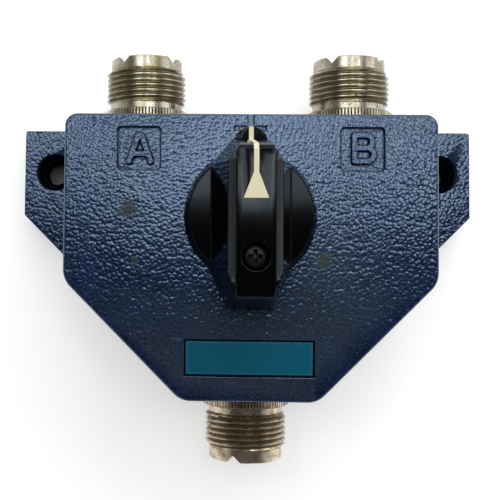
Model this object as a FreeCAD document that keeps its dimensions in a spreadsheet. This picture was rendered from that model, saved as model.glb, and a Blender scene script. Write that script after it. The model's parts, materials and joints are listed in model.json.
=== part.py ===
"""Two-way coaxial antenna switch: a die-cast box with three threaded connectors and a lever knob.

Millimetres. +Z runs out of the front face along the knob shaft, +Y points to the two antenna
connectors, and the origin is where the shaft axis meets the rear mounting face. The knob is in its
middle position.
"""

import FreeCAD, Part
import math
import os
import re

import Sketcher

Vector = FreeCAD.Vector

# Driving dimensions: alias, millimetres, meaning.
SIZES = [
    # Housing
    ("case_half_width", 34.8, "box, from the shaft axis to a side wall's outside"),
    ("case_top", 26.7, "box, from the shaft axis to the outside of the wall with ports A and B"),
    ("case_bottom", 26.7, "box, from the shaft axis to the outside of the common port's wall"),
    ("bottom_half_width", 12.6, "half of the short wall that carries the common port"),
    ("case_depth", 28.0, "rear mounting face to front face"),
    ("wall", 2.8, "side walls"),
    ("front_wall", 2.8, "front wall"),
    ("corner_radius", 2.3, "upper corners of the box"),
    ("bend_radius", 4.5, "obtuse corners of the box"),
    ("front_chamfer", 0.35, "broken front edge"),
    ("ear_half_span", 46.3, "shaft axis to the tip of an ear"),
    ("ear_top", 26.2, "upper edge of the ears"),
    ("ear_bend", 8.5, "where an ear's end turns into its slope"),
    ("ear_depth", 8.0, "thickness of the ears"),
    ("ear_round", 0.6, "corners of the ears"),
    ("ear_hole_inset", 6.3, "tip of an ear to the middle of its fixing hole"),
    ("ear_hole_y", 17.5, "fixing holes"),
    ("ear_hole_radius", 2.45, "fixing holes"),
    ("ear_sink_radius", 3.9, "counterbore of the fixing holes"),
    ("ear_sink_depth", 2.4, "counterbore of the fixing holes"),
    ("letter_x", 20.8, "centre of a letter recess"),
    ("letter_y", 20.1, "centre of a letter recess"),
    ("letter_half", 4.1, "half side of a letter recess"),
    ("letter_depth", 0.8, "depth of a letter recess"),
    ("letter_corner", 0.5, "corners of a letter recess"),
    ("label_y", -18.7, "centre of the label recess"),
    ("label_half_width", 12.05, "label recess"),
    ("label_half_height", 3.4, "label recess"),
    ("label_depth", 0.9, "label recess"),
    ("label_clearance", 0.35, "gap round the label plate"),
    ("label_thickness", 0.5, "label plate"),
    # Cover
    ("cover_rim", 1.3, "housing rim round the cover"),
    ("cover_thickness", 1.4, "rear cover; its screws' heads are countersunk as deep"),
    ("cover_clearance", 0.1, "gap round the cover"),
    ("block_half", 3.1, "half side of the blocks that take the cover screws"),
    ("upper_screw_x", 28.4, "upper cover screws"),
    ("upper_screw_y", 19.4, "upper cover screws"),
    ("lower_screw_x", 19.4, "lower cover screws"),
    ("lower_screw_y", -11.6, "lower cover screws"),
    ("cover_screw_radius", 1.45, "cover screw shank"),
    ("cover_screw_length", 8.0, "cover screw, from the rear face"),
    ("screw_clearance", 0.1, "gap round a screw in its hole"),
    # Ports
    ("port_x", 20.5, "axes of ports A and B"),
    ("port_z", 13.5, "height of the port axes above the rear face"),
    ("thread_radius", 7.9375, "5/8-24 connector thread"),
    ("thread_length", 6.8, "connector thread"),
    ("collar_radius", 8.5, "collar against the wall"),
    ("collar_length", 1.9, "collar against the wall"),
    ("neck_radius", 7.3, "plain neck between collar and thread"),
    ("neck_length", 1.8, "plain neck between collar and thread"),
    ("tip_radius", 7.15, "notched tip of a shell"),
    ("tip_length", 2.4, "notched tip of a shell"),
    ("notch_half_width", 1.45, "V notch, half width at the rim"),
    ("notch_floor_half", 0.15, "V notch, half width at its floor"),
    ("notch_depth", 1.2, "V notch, from the rim"),
    ("shell_bore", 6.2, "radius of the socket space in a shell"),
    ("shank_radius", 7.0, "part of the shell that is pressed into the wall"),
    ("socket_depth", 9.9, "rim to the insulator's face"),
    ("insulator_step", 1.0, "how far an insulator stands inside the wall"),
    ("contact_radius", 3.0, "centre contact, socket end"),
    ("pin_bore", 2.03, "radius of the hole for the plug's pin"),
    ("contact_setback", 0.7, "rim to the end of the centre contact"),
    ("contact_slot", 0.5, "slots in the socket end of a contact"),
    ("tail_radius", 1.5, "centre contact inside the box"),
    ("bore_floor", 2.0, "solid end of the contact behind the hole for the plug's pin"),
    ("seat_clearance", 0.01, "gap in a press seat"),
    # Shaft and bearing
    ("shaft_radius", 3.0, "shaft"),
    ("shaft_running_gap", 0.03, "between shaft and bush"),
    ("shaft_cover", 4.75, "knob's top to the shaft's end"),
    ("shaft_flat", 0.5, "depth of the flat that keys the knob"),
    ("shaft_tip_radius", 2.5, "lower step of the shaft"),
    ("shaft_tip_length", 2.2, "how far the lower step goes into the rotor"),
    ("shaft_play", 0.1, "axial play of the shaft, at either end of the bush"),
    ("bush_radius", 5.0, "bush"),
    ("bush_stand", 0.3, "bush above the front face"),
    ("hub_post_radius", 7.2, "cast boss round the bush"),
    ("hub_post_height", 2.3, "cast boss round the bush"),
    ("ring_thickness", 0.6, "retaining ring"),
    ("ring_radius", 4.8, "retaining ring"),
    ("ring_groove_radius", 2.4, "groove for the retaining ring"),
    ("ring_gap", 2.6, "opening of the retaining ring"),
    # Stop
    ("throw_angle", 45.0, "degrees from the middle position to A or B"),
    ("stop_disc_radius", 12.0, "stop disc"),
    ("stop_disc_thickness", 1.2, "stop disc"),
    ("stop_hub_radius", 6.5, "inner edge of the stop disc's notch"),
    ("stop_pin_radius", 1.5, "stop pin"),
    ("stop_pin_reach", 9.5, "shaft axis to the stop pin"),
    ("stop_pin_seat", 2.0, "how far the stop pin goes into the front wall"),
    ("stop_play", 1.0, "degrees between notch and pin at a limit"),
    # Switching pieces
    ("deck_offset", 2.0, "ground plate above, and blade below, the port axes"),
    ("sheet_thickness", 0.8, "ground plate and blade"),
    ("sweep_radius", 17.0, "ground plate and blade tip"),
    ("window_angle", 31.0, "degrees, half the opening in the ground plate"),
    ("window_radius", 8.0, "inner edge of that opening"),
    ("blade_width", 4.0, "moving blade"),
    ("blade_tail", 4.5, "blade behind the shaft axis"),
    ("rotor_radius", 6.0, "insulating rotor"),
    ("rotor_bottom", 7.5, "rear end of the rotor"),
    ("stud_radius", 1.5, "stud"),
    ("stud_head_radius", 2.3, "stud head"),
    ("stud_head_height", 1.2, "stud head"),
    ("contact_gap", 0.2, "running gap between a clip and what it grips"),
    ("leaf_thickness", 0.4, "spring leaves"),
    ("clip_width", 4.4, "clips, along the tail"),
    ("clip_reach", 8.6, "shaft axis to the tips of a port clip"),
    ("clip_half_web", 2.1, "port axis to the root of the leaves, and to the back of a clip"),
    ("ground_clip_tip", 14.0, "shaft axis to the tips of the ground clip"),
    ("ground_clip_web", 1.0, "web of the ground clip"),
    ("ground_clip_half_width", 2.5, "ground clip"),
    ("finger_thickness", 0.5, "common finger"),
    ("finger_half_width", 2.0, "common finger"),
    ("finger_lap", 3.9, "length of the finger under the common tail"),
    ("finger_gap", 0.3, "between finger and stud, and beside the swept space"),
    ("finger_past_axis", 2.2, "finger beyond the stud's axis"),
    ("tail_margin", 1.0, "finger's upright to the end of the common tail"),
    # Knob
    ("knob_gap", 0.6, "front face to the knob"),
    ("skirt_y", 7.6, "centre of the round skirt"),
    ("skirt_base_radius", 12.25, "round skirt"),
    ("skirt_top_radius", 11.35, "round skirt"),
    ("skirt_height", 2.7, "round skirt"),
    ("tab_y", 20.6, "centre of the pointer tab"),
    ("tab_radius", 3.2, "pointer tab"),
    ("tab_height", 2.3, "pointer tab"),
    ("brow_height", 18.6, "knob base to the upper edge of the bar's walls"),
    ("bar_height", 20.15, "knob base to the bar's top"),
    ("foot_nose_half", 3.35, "bar at its base: half width at the pointer end"),
    ("foot_nose_y", 21.9, "bar at its base: pointer end"),
    ("foot_half", 7.7, "bar at its base: half width"),
    ("foot_shoulder_y", 16.6, "bar at its base: where it narrows to the pointer"),
    ("foot_hip_y", -1.6, "bar at its base: where it narrows to the heel"),
    ("foot_heel_half", 4.9, "bar at its base: heel corner"),
    ("foot_heel_y", -8.0, "bar at its base: heel corner"),
    ("foot_end_half", 4.25, "bar at its base: half width of the heel"),
    ("foot_end_y", -9.75, "bar at its base: heel"),
    ("brow_nose_half", 2.7, "upper edge of the walls: half width at the pointer end"),
    ("brow_nose_y", 18.6, "upper edge of the walls: pointer end"),
    ("brow_half", 4.55, "upper edge of the walls: half width"),
    ("brow_shoulder_y", 15.55, "upper edge of the walls: shoulder"),
    ("brow_hip_y", -2.4, "upper edge of the walls: hip"),
    ("brow_heel_half", 3.5, "upper edge of the walls: heel corner"),
    ("brow_heel_y", -5.6, "upper edge of the walls: heel corner"),
    ("brow_end_half", 3.25, "upper edge of the walls: half width of the heel"),
    ("brow_end_y", -6.95, "upper edge of the walls: heel"),
    ("top_half", 3.2, "bar top: half width"),
    ("top_nose_half", 3.15, "bar top: half width at the pointer end"),
    ("top_nose_y", 17.35, "bar top: pointer end"),
    ("top_end_half", 3.05, "bar top: half width of the heel"),
    ("top_end_y", -6.6, "bar top: heel"),
    ("ring_room_radius", 6.2, "room for the retaining ring under the knob"),
    ("ring_room_depth", 1.3, "room for the retaining ring under the knob"),
    ("knob_bore_gap", 0.02, "knob round the shaft"),
    ("core_half_width", 3.4, "moulding core in the bar"),
    ("core_start_y", 5.2, "moulding core in the bar"),
    ("core_end_y", 15.4, "moulding core in the bar"),
    ("core_depth", 13.0, "moulding core in the bar"),
    ("knob_screw_radius", 1.25, "M2.5 screw shank"),
    ("knob_screw_length", 10.0, "M2.5 screw shank"),
    ("knob_screw_head_radius", 2.2, "M2.5 screw head"),
    ("knob_screw_head_height", 1.7, "M2.5 screw head"),
    ("knob_sink_radius", 2.35, "counterbore for the knob screw"),
    ("knob_web", 1.5, "knob between the shaft's end and the screw head"),
    ("line_half_width", 0.43, "pointer line"),
    ("line_depth", 0.4, "how deep the pointer line is let in"),
    ("arrow_start_y", 13.7, "pointer line: tip of its triangle"),
    ("arrow_end_y", 9.45, "pointer line: base of its triangle"),
    ("arrow_half_width", 2.05, "pointer line: half base of its triangle"),
]

# Counts
SHELL_NOTCHES = 4
CONTACT_SLOTS = 4

# Degrees between a countersunk head's side and its axis
COUNTERSINK_SLOPE = 45.0

# Degrees between the shaft's axis and a port's
PORT_TURN = 90.0

# Degrees by which each shell's notches are turned from its front
NOTCH_TURN_ANTENNA = 53.0
NOTCH_TURN_COMMON = 22.0

document = FreeCAD.newDocument("coaxial_switch")
sheet = document.addObject("Spreadsheet::Sheet", "Sizes")
for row, (alias, millimetres, meaning) in enumerate(SIZES, start=1):
    sheet.set("A%d" % row, str(millimetres))
    sheet.setAlias("A%d" % row, alias)
    sheet.set("B%d" % row, meaning)
document.recompute()
ALIASES = {alias for alias, millimetres, meaning in SIZES}

# Levels along the shaft, as expressions of the sheet
DECK_UP = "(port_z + deck_offset)"
DECK_DOWN = "(port_z - deck_offset)"
HALF_SHEET = "(sheet_thickness / 2)"
CEILING = "(case_depth - front_wall)"
HUB_FACE = "(%s - hub_post_height)" % CEILING
DISC_TOP = "(%s - shaft_play)" % HUB_FACE
DISC_BOTTOM = "(%s - stop_disc_thickness)" % DISC_TOP
SHOULDER = "(%s + %s)" % (DECK_UP, HALF_SHEET)
ROTOR_TOP = "(%s - %s)" % (DECK_UP, HALF_SHEET)
SHAFT_BOTTOM = "(%s - shaft_tip_length)" % ROTOR_TOP
RING_BOTTOM = "(case_depth + bush_stand + shaft_play)"
KNOB_BASE = "(case_depth + knob_gap)"
KNOB_TOP = "(%s + bar_height)" % KNOB_BASE
SHAFT_TOP = "(%s - shaft_cover)" % KNOB_TOP
SCREW_SEAT = "(%s + knob_web)" % SHAFT_TOP
EAR_HOLE_X = "(ear_half_span - ear_hole_inset)"
TAIL_BOTTOM = "(port_z - tail_radius)"
STUD_BOTTOM = "(rotor_bottom - stud_head_height)"
RIM = "(collar_length + neck_length + thread_length + tip_length)"
INSULATOR_END = "(-wall - insulator_step)"
COMMON_TAIL_END = "(sweep_radius + finger_gap + tail_margin)"
# Where the blade's tip stops at a port clip, along X and Y alike
CLIP_CENTRE = "(sweep_radius - blade_width / 2) * sin(throw_angle * 1 deg)"
# Diagonal offset of a 45 degree wall's corner for each millimetre of inset
DIAGONAL = "(sqrt(2) - 1)"


def bound(text):
    """An expression of the sheet's aliases in the form that a property takes."""
    return re.sub(r"[a-z_]+", lambda m: "Sizes." + m[0] if m[0] in ALIASES else m[0], text)


def value(text):
    """The number that an expression of the sheet's aliases stands for now."""
    found = sheet.evalExpression(bound(text))
    return float(getattr(found, "Value", found))


def body(name, x="0", y="0", z="0", turn_x=0.0):
    """A new body, placed at (x, y, z) and turned about X."""
    made = document.addObject("PartDesign::Body", name)
    made.Label = name
    made.Placement = FreeCAD.Placement(Vector(0, 0, 0), FreeCAD.Rotation(Vector(1, 0, 0), turn_x))
    for axis, text in zip("xyz", (x, y, z)):
        made.setExpression("Placement.Base." + axis, bound(text))
    return made


def sketch(owner, name, role="XY_Plane", offset="0"):
    """An empty sketch on one of the body's own planes, moved along its normal."""
    made = owner.newObject("Sketcher::SketchObject", name)
    plane = [each for each in owner.Origin.OriginFeatures if each.Role == role][0]
    made.AttachmentSupport = (plane, [""])
    made.MapMode = "FlatFace"
    made.setExpression("AttachmentOffset.Base.z", bound(offset))
    return made


def pin_point(drawing, geometry, point, x, y):
    """Hold one point of a sketch at (x, y)."""
    for kind, text in (("DistanceX", x), ("DistanceY", y)):
        rule = Sketcher.Constraint(kind, -1, 1, geometry, point, value(text))
        drawing.setExpression("Constraints[%d]" % drawing.addConstraint(rule), bound(text))


def outline(drawing, corners):
    """A closed polygon through corners given as pairs of expressions."""
    points = [Vector(value(x), value(y), 0) for x, y in corners]
    first = drawing.GeometryCount
    following = points[1:] + points[:1]
    for start, end in zip(points, following):
        drawing.addGeometry(Part.LineSegment(start, end), False)
    for step, (x, y) in enumerate(corners):
        after = first + (step + 1) % len(corners)
        drawing.addConstraint(Sketcher.Constraint("Coincident", first + step, 2, after, 1))
        pin_point(drawing, first + step, 1, x, y)


def circle(drawing, x, y, radius):
    """A circle given by expressions."""
    shape = Part.Circle(Vector(value(x), value(y), 0), Vector(0, 0, 1), value(radius))
    row = drawing.addGeometry(shape, False)
    pin_point(drawing, row, 3, x, y)
    rule = Sketcher.Constraint("Radius", row, value(radius))
    drawing.setExpression("Constraints[%d]" % drawing.addConstraint(rule), bound(radius))


def rectangle(drawing, left, right, low, high):
    """An upright rectangle given by expressions."""
    outline(drawing, [(left, low), (right, low), (right, high), (left, high)])


def mirrored_corners(half):
    """Corners on +X, followed by their mirror images on -X in reverse order."""
    return half + [("-(%s)" % x, y) for x, y in reversed(half)]


def feature(owner, kind, name, drawing, length, reverse=False, symmetric=False):
    """A Pad or Pocket of a sketch."""
    made = owner.newObject("PartDesign::" + kind, name)
    made.Profile = drawing
    made.setExpression("Length", bound(length))
    made.Reversed = reverse
    if symmetric:
        made.SideType = "Symmetric"
    drawing.Visibility = False
    owner.Tip = made
    document.recompute()
    return made


def pad(owner, name, drawing, length, reverse=False, symmetric=False):
    """Add the sketch, extruded."""
    return feature(owner, "Pad", name, drawing, length, reverse, symmetric)


def pocket(owner, name, drawing, length, reverse=False, symmetric=False):
    """Cut the sketch, extruded, and make sure that it takes material away."""
    before = owner.Shape.Volume
    made = feature(owner, "Pocket", name, drawing, length, reverse, symmetric)
    if not made.Shape.Volume < before:
        raise RuntimeError("%s cuts nothing" % name)
    return made


def revolve(owner, name, drawing):
    """Turn the sketch about its own vertical axis."""
    made = owner.newObject("PartDesign::Revolution", name)
    made.Profile = drawing
    made.ReferenceAxis = (drawing, ["V_Axis"])
    made.Angle = 360.0
    owner.Tip = made
    document.recompute()
    return made


def polar(owner, name, original, count):
    """Repeat a feature about the body's Z axis."""
    made = owner.newObject("PartDesign::PolarPattern", name)
    axis = [each for each in owner.Origin.OriginFeatures if each.Role == "Z_Axis"][0]
    made.Originals = [original]
    made.Axis = (axis, [""])
    made.Angle = 360.0
    made.Occurrences = count
    owner.Tip = made
    document.recompute()
    return made


def edge_names(shape, chosen):
    """Names of the edges that a test picks."""
    return ["Edge%d" % number for number, edge in enumerate(shape.Edges, start=1) if chosen(edge)]


def upright_at(places, tolerance=0.01):
    """A test for straight edges along Z at one of some (x, y) places."""
    def chosen(edge):
        ends = [vertex.Point for vertex in edge.Vertexes]
        if len(ends) != 2 or math.hypot(ends[0].x - ends[1].x, ends[0].y - ends[1].y) > tolerance:
            return False
        return any(math.hypot(ends[0].x - x, ends[0].y - y) < tolerance for x, y in places)
    return chosen


def round_edges(owner, name, radius, chosen, kind="Fillet"):
    """Fillet or chamfer the edges of the body that a test picks."""
    base = owner.Tip
    made = owner.newObject("PartDesign::" + kind, name)
    made.Base = (base, edge_names(base.Shape, chosen))
    made.setExpression("Radius" if kind == "Fillet" else "Size", bound(radius))
    owner.Tip = made
    document.recompute()
    return made


def box_corners(inset):
    """The box's outline, moved inwards: top right, round the common port's wall, to top left."""
    side = "case_half_width - %s" % inset
    bend = "case_half_width - bottom_half_width - case_bottom + %s * %s" % (inset, DIAGONAL)
    short = "bottom_half_width - %s * %s" % (inset, DIAGONAL)
    return mirrored_corners([
        (side, "case_top - %s" % inset),
        (side, bend),
        (short, "-case_bottom + %s" % inset),
    ])


def at_level(level, tolerance=0.01):
    """A test for edges that lie wholly at one height."""
    height = value(level)
    return lambda edge: all(abs(vertex.Z - height) < tolerance for vertex in edge.Vertexes)


def places(corners):
    """Corners as numbers."""
    return [(value(x), value(y)) for x, y in corners]


COVER_SCREWS = [
    ("upper_screw_x", "upper_screw_y"),
    ("-upper_screw_x", "upper_screw_y"),
    ("lower_screw_x", "lower_screw_y"),
    ("-lower_screw_x", "lower_screw_y"),
]


def block_outlines():
    """Outlines of the blocks for the cover screws, which run into the middle of the walls."""
    side = "case_half_width - wall / 2"
    slope = "case_half_width + case_bottom + bottom_half_width - case_half_width - wall / sqrt(2)"
    upper = [
        ("upper_screw_x - block_half", "upper_screw_y - block_half"),
        (side, "upper_screw_y - block_half"),
        (side, "upper_screw_y + block_half"),
        ("upper_screw_x - block_half", "upper_screw_y + block_half"),
    ]
    lower = [
        ("lower_screw_x - block_half", "lower_screw_y - block_half"),
        ("%s + lower_screw_y - block_half" % slope, "lower_screw_y - block_half"),
        ("%s + lower_screw_y + block_half" % slope, "lower_screw_y + block_half"),
        ("lower_screw_x - block_half", "lower_screw_y + block_half"),
    ]
    for corners in (upper, lower):
        yield corners
        yield [("-(%s)" % x, y) for x, y in corners]


def make_housing():
    """The casting: box, ears, cavity, bosses, recesses and holes."""
    owner = body("housing")
    drawing = sketch(owner, "box_outline")
    outline(drawing, box_corners("0"))
    pad(owner, "box", drawing, "case_depth")
    corners = places(box_corners("0"))
    upper = [place for place in corners if place[1] > 0]
    lower = [place for place in corners if place[1] < 0]
    round_edges(owner, "upper_corners", "corner_radius", upright_at(upper))
    round_edges(owner, "bends", "bend_radius", upright_at(lower))
    round_edges(owner, "front_edge", "front_chamfer", at_level("case_depth"), kind="Chamfer")

    drawing = sketch(owner, "ear_outline")
    root = "case_half_width - wall / 2"
    for sign in ("", "-"):
        outline(drawing, [
            ("%s(%s)" % (sign, root), "ear_top"),
            ("%sear_half_span" % sign, "ear_top"),
            ("%sear_half_span" % sign, "ear_bend"),
            ("%s(%s)" % (sign, root), "ear_bend - ear_half_span + %s" % root),
        ])
    pad(owner, "ears", drawing, "ear_depth")
    tips = [(sign * value("ear_half_span"), value(y)) for sign in (1, -1) for y in ("ear_top", "ear_bend")]
    round_edges(owner, "ear_corners", "ear_round", upright_at(tips))

    drawing = sketch(owner, "cavity_outline")
    outline(drawing, box_corners("wall"))
    pocket(owner, "cavity", drawing, CEILING, reverse=True)

    drawing = sketch(owner, "block_outlines", offset="cover_thickness")
    for corners in block_outlines():
        outline(drawing, corners)
    pad(owner, "screw_blocks", drawing, "%s - cover_thickness" % CEILING)
    drawing = sketch(owner, "hub_circle", offset=HUB_FACE)
    circle(drawing, "0", "0", "hub_post_radius")
    pad(owner, "hub_post", drawing, "hub_post_height")

    drawing = sketch(owner, "rebate_outline")
    outline(drawing, box_corners("cover_rim"))
    pocket(owner, "cover_rebate", drawing, "cover_thickness", reverse=True)

    drawing = sketch(owner, "cover_screw_holes", offset="cover_thickness")
    for x, y in COVER_SCREWS:
        circle(drawing, x, y, "cover_screw_radius + screw_clearance / 2")
    pocket(owner, "cover_pilots", drawing, "cover_screw_length", reverse=True)
    drawing = sketch(owner, "bush_circle")
    circle(drawing, "0", "0", "bush_radius + seat_clearance")
    pocket(owner, "bush_hole", drawing, "case_depth", reverse=True)
    drawing = sketch(owner, "pin_circle", offset=CEILING)
    circle(drawing, "0", "-stop_pin_reach", "stop_pin_radius + seat_clearance")
    pocket(owner, "pin_hole", drawing, "stop_pin_seat", reverse=True)

    drawing = sketch(owner, "ear_holes_outline")
    for x in (EAR_HOLE_X, "-" + EAR_HOLE_X):
        circle(drawing, x, "ear_hole_y", "ear_hole_radius")
    pocket(owner, "ear_holes", drawing, "ear_depth", reverse=True)
    drawing = sketch(owner, "ear_sinks_outline", offset="ear_depth")
    for x in (EAR_HOLE_X, "-" + EAR_HOLE_X):
        circle(drawing, x, "ear_hole_y", "ear_sink_radius")
    pocket(owner, "ear_sinks", drawing, "ear_sink_depth")

    for name, plane_offset, centres in (
            ("antenna_port_holes", "-case_top", ("port_x", "-port_x")),
            ("common_port_hole", "case_bottom", ("0",))):
        drawing = sketch(owner, name + "_outline", "XZ_Plane", plane_offset)
        for x in centres:
            circle(drawing, x, "port_z", "shank_radius + seat_clearance")
        pocket(owner, name, drawing, "wall", reverse=name == "antenna_port_holes")

    drawing = sketch(owner, "letter_squares", offset="case_depth")
    for x in ("letter_x", "-letter_x"):
        rectangle(drawing, "%s - letter_half" % x, "%s + letter_half" % x,
                  "letter_y - letter_half", "letter_y + letter_half")
    pocket(owner, "letter_recesses", drawing, "letter_depth")
    squares = [(sign * value("letter_x + %sletter_half" % dx), value("letter_y + %sletter_half" % dy))
               for sign in (1, -1) for dx in ("", "-") for dy in ("", "-")]
    round_edges(owner, "letter_corners", "letter_corner", upright_at(squares), kind="Chamfer")
    drawing = sketch(owner, "label_rectangle", offset="case_depth")
    rectangle(drawing, "-label_half_width", "label_half_width",
              "label_y - label_half_height", "label_y + label_half_height")
    pocket(owner, "label_recess", drawing, "label_depth")
    return owner


def make_label_plate():
    """The plate in its recess below the knob."""
    owner = body("label_plate")
    half_width = "label_half_width - label_clearance"
    half_height = "label_half_height - label_clearance"
    drawing = sketch(owner, "label_outline", offset="case_depth - label_depth")
    rectangle(drawing, "-(%s)" % half_width, half_width,
              "label_y - (%s)" % half_height, "label_y + %s" % half_height)
    pad(owner, "label", drawing, "label_thickness")
    return owner


def make_rear_cover():
    """The flat cover, let into the rear rim, with holes countersunk through its thickness."""
    owner = body("rear_cover")
    drawing = sketch(owner, "cover_outline")
    outline(drawing, box_corners("(cover_rim + cover_clearance)"))
    pad(owner, "plate", drawing, "cover_thickness")
    drawing = sketch(owner, "cover_holes_outline")
    for x, y in COVER_SCREWS:
        circle(drawing, x, y, "cover_screw_radius + cover_thickness + screw_clearance")
    sunk = pocket(owner, "countersinks", drawing, "cover_thickness", reverse=True)
    sunk.TaperAngle = -COUNTERSINK_SLOPE
    return owner


def make_cover_screws():
    """Four countersunk screws, as one group."""
    screws = []
    for number, (x, y) in enumerate(COVER_SCREWS, start=1):
        owner = body("cover_screw_%d" % number, x, y)
        drawing = sketch(owner, "profile_%d" % number, "XZ_Plane")
        outline(drawing, [
            ("0", "0"),
            ("cover_screw_radius + cover_thickness", "0"),
            ("cover_screw_radius", "cover_thickness"),
            ("cover_screw_radius", "cover_screw_length"),
            ("0", "cover_screw_length"),
        ])
        revolve(owner, "turned_%d" % number, drawing)
        screws.append(owner)
    group = document.addObject("Part::Compound", "cover_screws")
    group.Label = "cover_screws"
    group.Links = screws
    return group


def port_body(name, port):
    """A body whose Z axis runs out of one port, from the wall's outer face."""
    if port == "common":
        return body(name, "0", "-case_bottom", "port_z", turn_x=PORT_TURN)
    x = "port_x" if port == "b" else "-port_x"
    return body(name, x, "case_top", "port_z", turn_x=-PORT_TURN)


def make_shell(port):
    """Connector shell: shank in the wall, collar, neck, thread and notched tip."""
    owner = port_body("shell_" + port, port)
    neck = "collar_length + neck_length"
    thread_end = "%s + thread_length" % neck
    drawing = sketch(owner, "shell_profile_" + port, "XZ_Plane")
    outline(drawing, [
        ("shell_bore", "-wall"),
        ("shank_radius", "-wall"),
        ("shank_radius", "0"),
        ("collar_radius", "0"),
        ("collar_radius", "collar_length"),
        ("neck_radius", "collar_length"),
        ("neck_radius", neck),
        ("thread_radius", neck),
        ("thread_radius", thread_end),
        ("tip_radius", thread_end),
        ("tip_radius", RIM),
        ("shell_bore", RIM),
    ])
    revolve(owner, "shell_turned_" + port, drawing)

    turn = NOTCH_TURN_COMMON if port == "common" else NOTCH_TURN_ANTENNA
    notch = sketch(owner, "notch_profile_" + port, "XZ_Plane")
    notch.AttachmentOffset = FreeCAD.Placement(Vector(0, 0, 0), FreeCAD.Rotation(Vector(0, 1, 0), turn))
    outline(notch, [
        ("notch_floor_half - 2 * notch_half_width", "%s + notch_depth" % RIM),
        ("-notch_floor_half", "%s - notch_depth" % RIM),
        ("notch_floor_half", "%s - notch_depth" % RIM),
        ("2 * notch_half_width - notch_floor_half", "%s + notch_depth" % RIM),
    ])
    first = pocket(owner, "notch_first_" + port, notch, "thread_radius")
    polar(owner, "notches_" + port, first, SHELL_NOTCHES)
    return owner


def make_insulator(port):
    """Insulating plug that carries the centre contact."""
    owner = port_body("insulator_" + port, port)
    face = "%s - socket_depth" % RIM
    drawing = sketch(owner, "insulator_profile_" + port, "XZ_Plane")
    outline(drawing, [
        ("contact_radius + seat_clearance", INSULATOR_END),
        ("shell_bore - seat_clearance", INSULATOR_END),
        ("shell_bore - seat_clearance", face),
        ("contact_radius + seat_clearance", face),
    ])
    revolve(owner, "insulator_turned_" + port, drawing)
    return owner


def make_contact(port):
    """Centre contact: slotted socket outside, tail inside."""
    owner = port_body("contact_" + port, port)
    face = "(%s - socket_depth)" % RIM
    end = "(%s - contact_setback)" % RIM
    if port == "common":
        tail = "-(case_bottom - %s)" % COMMON_TAIL_END
    else:
        tail = "-(case_top - %s + clip_width / 2)" % CLIP_CENTRE
    drawing = sketch(owner, "contact_profile_" + port, "XZ_Plane")
    outline(drawing, [
        ("0", tail),
        ("tail_radius", tail),
        ("tail_radius", INSULATOR_END),
        ("contact_radius", INSULATOR_END),
        ("contact_radius", end),
        ("pin_bore", end),
        ("pin_bore", "%s + bore_floor" % INSULATOR_END),
        ("0", "%s + bore_floor" % INSULATOR_END),
    ])
    revolve(owner, "contact_turned_" + port, drawing)
    slot = sketch(owner, "slot_profile_" + port, "XZ_Plane")
    rectangle(slot, "-contact_slot / 2", "contact_slot / 2", "%s + tail_radius" % face, end)
    first = pocket(owner, "slot_first_" + port, slot, "2 * contact_radius")
    polar(owner, "slots_" + port, first, CONTACT_SLOTS)
    return owner


def comb_slots(drawing, start, end, decks):
    """Slots between the leaves of a clip, one round each deck."""
    half = "(%s + contact_gap)" % HALF_SHEET
    for deck in decks:
        rectangle(drawing, start, end, "%s - %s" % (deck, half), "%s + %s" % (deck, half))


def make_port_clip(port):
    """Two-deck spring clip, threaded on the tail of an antenna port."""
    owner = body("clip_" + port)
    sign = "" if port == "b" else "-"
    front = "-(%s - clip_width / 2)" % CLIP_CENTRE
    low = "%s - %s - contact_gap - leaf_thickness" % (DECK_DOWN, HALF_SHEET)
    high = "%s + %s + contact_gap + leaf_thickness" % (DECK_UP, HALF_SHEET)
    drawing = sketch(owner, "clip_block_" + port, "XZ_Plane", front)
    rectangle(drawing, sign + "clip_reach", "%s(port_x + clip_half_web)" % sign, low, high)
    pad(owner, "clip_blank_" + port, drawing, "clip_width", reverse=True)
    drawing = sketch(owner, "clip_slots_" + port, "XZ_Plane", front)
    past_tips = "%s(clip_reach - leaf_thickness)" % sign
    root = "%s(port_x - clip_half_web)" % sign
    comb_slots(drawing, past_tips, root, (DECK_UP, DECK_DOWN))
    inner = "(%s + contact_gap + leaf_thickness)" % HALF_SHEET
    rectangle(drawing, past_tips, root, "%s + %s" % (DECK_DOWN, inner), "%s - %s" % (DECK_UP, inner))
    pocket(owner, "clip_leaves_" + port, drawing, "clip_width")
    drawing = sketch(owner, "clip_hole_" + port, "XZ_Plane", front)
    circle(drawing, sign + "port_x", "port_z", "tail_radius + seat_clearance")
    pocket(owner, "clip_bore_" + port, drawing, "clip_width")
    return owner


def make_ground_clip():
    """Single clip on the top wall that grips the blade in the middle position."""
    owner = body("ground_clip")
    half = "%s + contact_gap + leaf_thickness" % HALF_SHEET
    inner_wall = "case_top - wall"
    drawing = sketch(owner, "ground_clip_block", "YZ_Plane")
    rectangle(drawing, "ground_clip_tip", inner_wall,
              "%s - (%s)" % (DECK_DOWN, half), "%s + %s" % (DECK_DOWN, half))
    pad(owner, "ground_clip_blank", drawing, "2 * ground_clip_half_width", symmetric=True)
    drawing = sketch(owner, "ground_clip_slot", "YZ_Plane")
    comb_slots(drawing, "ground_clip_tip - leaf_thickness", "%s - ground_clip_web" % inner_wall,
               (DECK_DOWN,))
    pocket(owner, "ground_clip_leaves", drawing, "4 * ground_clip_half_width", symmetric=True)
    return owner


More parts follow.
